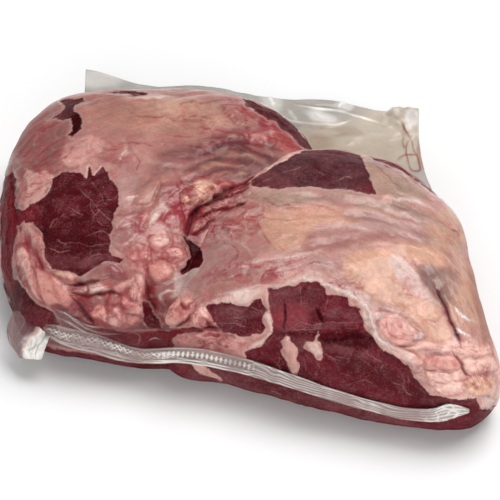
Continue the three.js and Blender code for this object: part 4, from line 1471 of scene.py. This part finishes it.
# On the tail the white washes and white folds are painted highlights on the film, and the shade folds
# painted shade.
TAIL = with_lines({
    "base": "film_grey",
    "washes": [
        (330, 150, 70, 30, 10, "film_cream", 1.0),
        (400, 130, 44, 40, 0, "film_cream", 1.0),
        (318, 143, 16, 10, 0, "film_warm", 0.6),
        (350, 132, 16, 5, -15, "film_warm", 0.4),
        (100, 78, 26, 10, 0, "film_white", 0.5),
        (272, 102, 10, 12, 30, "film_white", 0.5),
        (322, 117, 16, 6, -20, "film_white", 0.7),
        (344, 106, 10, 6, 0, "film_white", 0.6),
        (412, 118, 7, 10, 0, "film_white", 0.9),
    ],
    "folds": [
        (2.0, 0.6, "film_white", 0.8, "268,95 271,101 274,107"),
        (1.8, 0.5, "film_white", 0.6, "288,111 293,117 298,122"),
        (2.2, 0.6, "film_white", 0.8, "314,113 322,118 334,121"),
        (1.8, 0.5, "film_white", 0.7, "337,108 342,104 348,104"),
        (1.0, 0.6, "film_white", 1.0, "295,106 318,109 340,112 366,119 391,127"),
        (1.2, -0.6, "film_shade", 0.5, "290,103 318,106 342,108 362,115"),
        (1.0, -0.5, "film_shade", 0.5, "252,104 270,114 288,124 318,128 340,128"),
        (1.0, 0.5, "film_white", 0.6, "250,100 272,110 290,121 318,125 336,125"),
        (0.9, 0.5, "film_white", 0.8, "318,123 330,125 342,124 352,121"),
        (3.0, -0.6, "film_shade", 0.3, "300,131 325,138 345,133"),
        (2.4, 0.5, "film_white", 0.2, "345,146 362,138 385,134"),
        (1.6, -1.0, "film_shade", 0.5, "384,114 394,116 404,126"),
        (1.8, 1.2, "film_white", 0.4, "386,109 397,110 406,106 416,114"),
        (0.9, 0.4, "film_blood", 1.0, "402,121 405,130 411,138 413,134"),
        (0.8, 0.4, "film_blood", 0.7, "415,133 419,145 420,158 424,168 434,188"),
        (0.8, 0.3, "film_blood", 0.8, "406,134 403,142 404,148 408,141"),
        (0.9, 0.4, "film_blood", 1.0, "411,138 406,148 408,160 412,171 420,171 418,157 417,145"),
        (0.9, 0.4, "film_blood", 1.0, "397,162 403,156 419,155"),
        (0.8, 0.3, "film_blood", 0.7, "388,140 398,137 406,134"),
        (0.8, 0.3, "film_blood", 0.8, "411,138 414,150 419,160"),
    ],
})


def tail_shape(u, v):
    root = along(curve_points(TAIL_ROOT), u)
    edge = along(curve_points(TAIL_EDGE), u)
    points = root + v[:, None] * (edge - root)
    points[:, 0] -= TAIL_WAIST * np.sin(math.pi * v) * u ** 6
    phase = 2 * math.pi * (points[:, 0] + 0.6 * points[:, 1]) / TAIL_WAVE_LENGTH
    points[:, 2] += v * TAIL_WAVE_HEIGHT * np.sin(phase)
    points[:, 2] += 0.8 * noise(points / (16, 10, 16) + 3) + 0.3 * noise(points / 5 + 8)
    corner = np.hypot(points[:, 0] - TAIL_KNOT[0], points[:, 1] - TAIL_KNOT[1])
    points[:, 2] += 3.5 * smooth(16, 4, corner) + 1.6 * smooth(20, 6, corner) * noise(points / 4)
    cover = 0.68 + 0.12 * noise(points / 12)
    bulge = np.zeros(len(points))
    film_tone = marked(in_photo(points), points, TAIL, cover, bulge)
    points[:, 2] += bulge
    return points, film_tone, cover


# The front seal: its middle line in the photograph, its half width there in pixels, and how the
# crimps run. The crimps are 2.2 mm apart, as the jaws of a bag sealer leave them.
SEAL_MIDDLE = [(43, 329), (52, 331), (62, 335), (75, 339), (88, 342), (100, 345), (113, 350),
               (127, 354), (142, 356), (158, 356), (175, 355), (200, 357), (225, 362), (250, 368),
               (275, 376), (300, 384), (320, 391), (340, 397), (360, 403), (380, 408), (400, 413),
               (420, 415), (436, 415), (452, 411), (470, 411)]
SEAL_HALF_WIDTH = [(43, 5), (60, 9), (80, 10), (110, 9.5), (140, 7.5), (200, 8.5), (250, 8),
                   (300, 6.5), (380, 5.5), (430, 6.5), (448, 8.5), (458, 6), (470, 1.5)]
CRIMP = 2.2
SEAL_LIFT = 0.8
STATIONS = 90  # along a band that is laid on the meat


def through(pixels, depth):
    """The points at a depth in front of the eye that are seen at these pixels."""
    right = (pixels[:, 0] - PHOTO_SIZE / 2) * depth / FOCAL_PIXELS
    up = (PHOTO_SIZE / 2 - pixels[:, 1]) * depth / FOCAL_PIXELS
    return EYE - np.outer(depth, VIEW_BACK) + np.outer(right, VIEW_RIGHT) + np.outer(up, VIEW_UP)


def surface_depth(pixels, trees):
    """How far in front of the eye the meat lies at these pixels, filled in where it doesn't."""
    eye = Vector(to_frame(EYE))
    depth = np.full(len(pixels), np.nan)
    for k, far in enumerate(to_frame(through(pixels, np.full(len(pixels), VIEW_DISTANCE)))):
        ray = (Vector(far) - eye).normalized()
        for tree in trees:
            hit = tree.ray_cast(eye, ray)[0]
            if hit is not None:
                here = -((np.array(hit) / MM + DRAWING_CENTRE) - EYE) @ VIEW_BACK
                depth[k] = np.nanmin([depth[k], here])
    known = np.flatnonzero(~np.isnan(depth))
    return np.interp(np.arange(len(depth)), known, depth[known])


def over_bumps(values, window):
    """Values drawn down to the lowest nearby, then evened out, as taut film is over bumps."""
    padded = np.pad(values, window, mode="edge")
    lowest = np.array([padded[k:k + 2 * window + 1].min() for k in range(len(values))])
    padded = np.pad(lowest, window, mode="edge")
    return np.convolve(padded, np.ones(2 * window + 1) / (2 * window + 1), mode="valid")


def draped(upper, lower, trees, lift, u, v, window=3):
    """Pixels and depths of a band laid on the meat between two lines of the photograph."""
    share = np.linspace(0, 1, STATIONS)
    rows = []
    for k in (0.0, 0.5, 1.0):
        pixels = (1 - k) * along(upper, share) + k * along(lower, share)
        rows.append((pixels, over_bumps(surface_depth(pixels, trees), window) - lift))
    at = u * (STATIONS - 1)
    side = 2 * v - 1

    def across(values):
        low, mid, high = [np.interp(at, np.arange(STATIONS), row) for row in values]
        return mid + np.where(side < 0, (mid - low) * side, (high - mid) * side)

    pixels = np.column_stack([across([row[0][:, k] for row in rows]) for k in (0, 1)])
    return pixels, across([row[1] for row in rows])


def borders(middle, half_width):
    """The two lines that run beside a line at its half width."""
    line = along(curve_points(middle, steps=6), np.linspace(0, 1, STATIONS))
    run = np.gradient(line, axis=0)
    side = np.column_stack([-run[:, 1], run[:, 0]]) / np.linalg.norm(run, axis=1)[:, None]
    width = np.interp(line[:, 0], *np.array(half_width).T)[:, None]
    return line - side * width, line + side * width


def seal_shape(trees):
    upper, lower = borders(SEAL_MIDDLE, SEAL_HALF_WIDTH)
    line = curve_points(SEAL_MIDDLE, steps=6)
    length = np.linalg.norm(np.diff(line, axis=0), axis=1).sum() / PIXELS_PER_MM

    def shape(u, v):
        pixels, depth = draped(upper, lower, trees, SEAL_LIFT, u, v)
        s = u * length
        t = 2 * v - 1  # -1 is the upper border
        x = pixels[:, 0]
        flat = np.zeros(len(s))
        sway = 0.12 * np.sin(s / 7) + 0.14 * noise(np.column_stack([s / 4, flat, flat]))
        loose = 0.22 * noise(np.column_stack([s / 2.6, t, flat]))
        turn = 2 * math.pi * s / CRIMP
        left = smooth(185, 160, x)
        beads = smooth(150, 165, x) * smooth(262, 240, x)
        right = smooth(240, 268, x)
        wave = np.abs((s / CRIMP + 0.8 * loose) % 1 - 0.5) * 4 - 1  # a triangle wave
        slow = np.abs((s / (1.6 * CRIMP) + loose) % 1 - 0.5) * 4 - 1
        marks = left * thin_line(t + 0.40 - 0.11 * wave - sway, 0.10)
        marks += left * 0.9 * thin_line(t + 0.18 + 0.13 * slow - sway, 0.09)
        marks += left * 0.6 * thin_line(t - 0.04 - 0.10 * wave - 1.2 * sway, 0.07)
        marks += left * 0.5 * thin_line(t - 0.26 + 0.05 * slow - loose, 0.07)
        bead = (0.5 + 0.5 * np.cos(turn)) ** 1.5
        marks += beads * 1.1 * bead * (thin_line(t + 0.02 - 0.3 * loose, 0.15)
                                       + thin_line(t + 0.36 - 0.3 * loose, 0.15))
        marks += beads * 0.6 * thin_line(t + 0.17 - 0.3 * sway, 0.07)
        marks += (left + beads) * (0.8 * thin_line(t - 0.55 - 0.6 * sway, 0.07)
                                   + 0.9 * thin_line(t - 0.84 - 0.2 * loose, 0.09))
        marks += 0.5 * thin_line(t + 0.9 - 0.5 * sway, 0.06)
        wander = noise(np.column_stack([s / 26, t * 1.5, flat + 9]))
        pleats = 0.5 + 0.5 * np.sin(t * 15 + 14 * sway + 3.2 * wander)
        marks += (beads * smooth(0.1, 0.4, t) + right) * 0.75 * pleats ** 2 * (0.7 + 1.4 * loose)
        crumple = smooth(415, 440, x)
        rough = np.column_stack([s / 5 + t * 0.9, t * 2.2 - s / 3.5, s / 11 + t])
        marks += crumple * (0.25 + 1.1 * smooth(0.25, 0.0, np.abs(noise(rough))))
        marks *= 0.75 + 0.5 * noise(np.column_stack([s / 9, t / 2, flat + 5]))
        fade = smooth(1.02, 0.9, np.abs(t))
        grown = 0.45 * marks + crumple * 1.5 * noise(rough / 1.5 + 4)
        points = through(pixels, depth) + np.outer(grown, VIEW_BACK)
        share = np.clip(marks, 0, 1)[:, None]
        film_tone = tone("film_seal") + share * (tone("film_white") - tone("film_seal"))
        cover = (0.36 + 0.22 * right + 0.6 * np.clip(marks, 0, 1)) * (0.2 + 0.8 * fade)
        cover *= smooth(-0.01, 0.06, u) * smooth(1, 0.995, u)
        return points, film_tone, cover

    return shape


# The film in front of the meat hangs free between a fold and the seal, with red juice behind it.
APRON_TOP = [(50, 309), (60, 309), (75, 318), (87, 324), (107, 327), (127, 328), (142, 326),
             (167, 327), (192, 328), (215, 327), (250, 329)]
APRON_FOOT = [(48, 322), (60, 326), (75, 332), (100, 342), (125, 349), (150, 351), (175, 349),
              (200, 350), (230, 356), (252, 362)]
APRON = with_lines({
    "base": "film_veil",
    "washes": [
        (70, 320, 26, 10, -25, "film_ash", 0.6),
        (130, 340, 40, 9, 0, "film_deep", 0.8),
    ],
    # Its white folds are painted sheen on the film's wrinkles.
    "folds": [
        (1.1, 0.6, "film_white", 0.6, "55,309 66,314 78,320 92,326 108,328"),
        (0.9, 0.5, "blood", 1.0, "96,327 120,329 142,328 167,329 192,329 215,329 246,330"),
        (1.0, 0.4, "film_white", 0.4, "110,326 130,327 150,325 180,326 214,325"),
        (1.0, 0.5, "film_white", 0.5, "56,317 70,324 84,332 98,338 112,344"),
        (1.0, 0.4, "film_white", 0.4, "64,313 76,322 90,330 104,334 120,334"),
        (0.8, 0.4, "film_rose", 0.5, "124,336 132,332 140,336 138,344 130,346"),
        (0.8, 0.4, "film_white", 0.5, "148,341 154,338 160,340"),
        (0.8, 0.4, "film_white", 0.4, "196,344 199,338 204,344"),
    ],
})


def apron_shape(trees):
    upper = curve_points(APRON_TOP, steps=8)
    lower = curve_points(APRON_FOOT, steps=8)

    def shape(u, v):
        pixels, depth = draped(upper, lower, trees, 0.6, u, v, window=4)
        points = through(pixels, depth)
        ends = smooth(0, 0.05, u) * smooth(1, 0.85, u) * smooth(0, 0.08, v)
        cover = (0.10 + 0.16 * smooth(150, 90, pixels[:, 0])) * ends
        bulge = np.zeros(len(points))
        film_tone = marked(pixels, points, APRON, cover, bulge)
        return points + np.outer(bulge, VIEW_BACK), film_tone, cover * ends

    return shape


EAR_LEFT = [(14, 311), (9, 322), (7, 331), (10, 343), (16, 352), (20, 358)]
EAR_RIGHT = [(55, 309), (52, 317), (51, 325), (50, 333), (47, 344), (42, 360)]
EAR_POINT = np.array([-84.0, -59.0, 29.0])  # a place on the flap, which leans outwards
EAR_FACING = np.array([-0.203, -0.688, 0.696])
EAR = with_lines({
    "base": "film_flap",
    "washes": [
        (15, 325, 8, 14, 0, "film_ash", 0.8),
        (34, 320, 8, 9, 0, "film_deep", 0.7),
        (20, 345, 8, 9, 0, "film_ash", 0.7),
        (37, 346, 12, 13, 35, "film_white", 1.0),
        (48, 328, 6, 10, 0, "film_white", 1.0),
        (43, 336, 6, 10, 20, "film_white", 1.0),
        (34, 354, 11, 7, 0, "film_white", 1.0),
        (52, 312, 8, 5, 0, "film_rose", 0.7),
    ],
    "folds": [
        (2.4, 0.4, "film_rose", 1.0, "50,312 46,319 41,327 37,334"),
        (1.4, 1.6, "film_rose", 0.9, "50,311 47,320 40,329 33,336 27,344 22,355"),
        (0.9, 0.8, "film_rose", 0.7, "14,312 13,325 13,338 17,350"),
        (0.8, 0.8, "film_rose", 0.5, "20,312 26,320 22,330 17,338"),
        (0.8, 0.7, "film_rose", 0.6, "16,347 22,342 27,346 22,352"),
        (1.0, -0.6, "film_deep", 0.7, "28,312 34,322 32,332 26,338"),
        (0.8, 0.8, "film_white", 0.9, "46,324 40,334 34,346 30,357"),
        (0.8, -0.7, "film_shade", 0.6, "48,330 43,340 38,350 37,358"),
        (0.8, -0.6, "film_shade", 0.5, "40,336 36,346 30,352"),
        (0.8, 0.6, "film_white", 0.6, "10,334 12,345 19,355"),
    ],
})


def on_plane(pixels, place, facing):
    rays = through(pixels, np.full(len(pixels), VIEW_DISTANCE)) - EYE
    reach = ((place - EYE) @ facing) / (rays @ facing)
    return EYE + rays * reach[:, None]


def ear_shape(u, v):
    left = along(curve_points(EAR_LEFT), v)
    right = along(curve_points(EAR_RIGHT), v)
    pixels = left + u[:, None] * (right - left)
    points = on_plane(pixels, EAR_POINT, EAR_FACING)
    bulge = 2.0 * np.sin(math.pi * np.clip(u, 0, 1)) * np.sin(math.pi * v * 0.8)
    cover = 0.5 + 0.1 * noise(points / 4)
    film_tone = marked(pixels, points, EAR, cover, bulge)
    crumpled = smooth(0.15, 0.6, film_tone[:, 1])
    bulge += crumpled * (0.9 * noise(points / 2.2) + 0.5 * noise(points / 1.1 + 5))
    film_tone *= (1 + 0.18 * crumpled * noise(points / 1.6 + 2))[:, None]
    return points + np.outer(bulge, EAR_FACING), film_tone, cover + 0.4 * crumpled


# ---------------------------------------------------------------- build
beef = flesh_material("raw_beef_under_film")
left_cheek = make_cheek("left_cheek", LEFT, flow_left, rim=LEFT_RIM, middle=(-52, 4), crown=54,
                        boxy_front=2.3, boxy_back=2.8)
right_cheek = make_cheek("right_cheek", RIGHT, flow_right, rim=RIGHT_RIM, middle=(46, -12), crown=56,
                         boxy_front=2.2, boxy_back=2.8)
for piece in (left_cheek, right_cheek):
    piece.data.materials.append(beef)
    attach(piece, "root")
    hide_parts("sealed_bag")

bpy.context.view_layer.update()
seen_from = bpy.context.evaluated_depsgraph_get()
meat_trees = [BVHTree.FromObject(piece, seen_from) for piece in (left_cheek, right_cheek)]

loose_film = film_material("milky_shrink_film", 0.28, 5)
sealed_film = film_material("crimped_shrink_film", 0.35, 2)
tail = make_sheet("bag_tail", 300, 110, tail_shape, 0.5)
seal = make_sheet("front_seal", 1150, 38, seal_shape(meat_trees), 0.25)
apron = make_sheet("front_film", 260, 40, apron_shape(meat_trees), 0.2)
ear = make_sheet("front_corner", 90, 110, ear_shape, 0.4)
for piece, material in ((tail, loose_film), (seal, sealed_film), (apron, loose_film),
                        (ear, sealed_film)):
    piece.data.materials.append(material)
    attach(piece, "root")
    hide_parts("sealed_bag")


# ---------------------------------------------------------------- stage
def make_camera():
    data = bpy.data.cameras.new("camera")
    data.lens = FOCAL_PIXELS / PHOTO_SIZE * SENSOR
    data.sensor_width = SENSOR
    camera = add_object("camera", data)
    turn = Matrix((VIEW_RIGHT, VIEW_UP, VIEW_BACK)).transposed()
    camera.matrix_world = Matrix.Translation(to_frame(EYE)) @ turn.to_4x4()
    bpy.context.scene.camera = camera


def make_floor():
    bm = bmesh.new()
    bmesh.ops.create_grid(bm, x_segments=1, y_segments=1, size=4)
    mesh = bpy.data.meshes.new("floor")
    bm.to_mesh(mesh)
    bm.free()
    floor = add_object("floor", mesh)
    material = new_material("matt_white_paper")
    tree = material.node_tree
    shader = node(tree, "BsdfPrincipled", {"Base Color": (0.93, 0.93, 0.93, 1), "Roughness": 0.9})
    node(tree, "OutputMaterial", {"Surface": shader})
    mesh.materials.append(material)


def add_light(name, place, size, power):
    data = bpy.data.lights.new(name, "AREA")
    data.shape = "SQUARE"
    data.size = size
    data.energy = power
    light = add_object(name, data)
    light.location = place
    light.rotation_euler = (-Vector(place)).to_track_quat("-Z", "Y").to_euler()


def make_stage():
    make_camera()
    make_floor()
    add_light("softbox_above", (0.35, 0.5, 1.5), 1.1, 23)
    add_light("softbox_front", (0.3, -1.5, 0.7), 1.3, 13)
    add_light("softbox_left", (-1.4, 0.1, 0.8), 0.8, 2.5)
    world = bpy.data.worlds.new("studio")
    world.use_nodes = True
    world.node_tree.nodes["Background"].inputs["Color"].default_value = (1, 1, 1, 1)
    world.node_tree.nodes["Background"].inputs["Strength"].default_value = 0.22
    bpy.context.scene.world = world
    bpy.context.scene.view_settings.view_transform = "Standard"


make_stage()
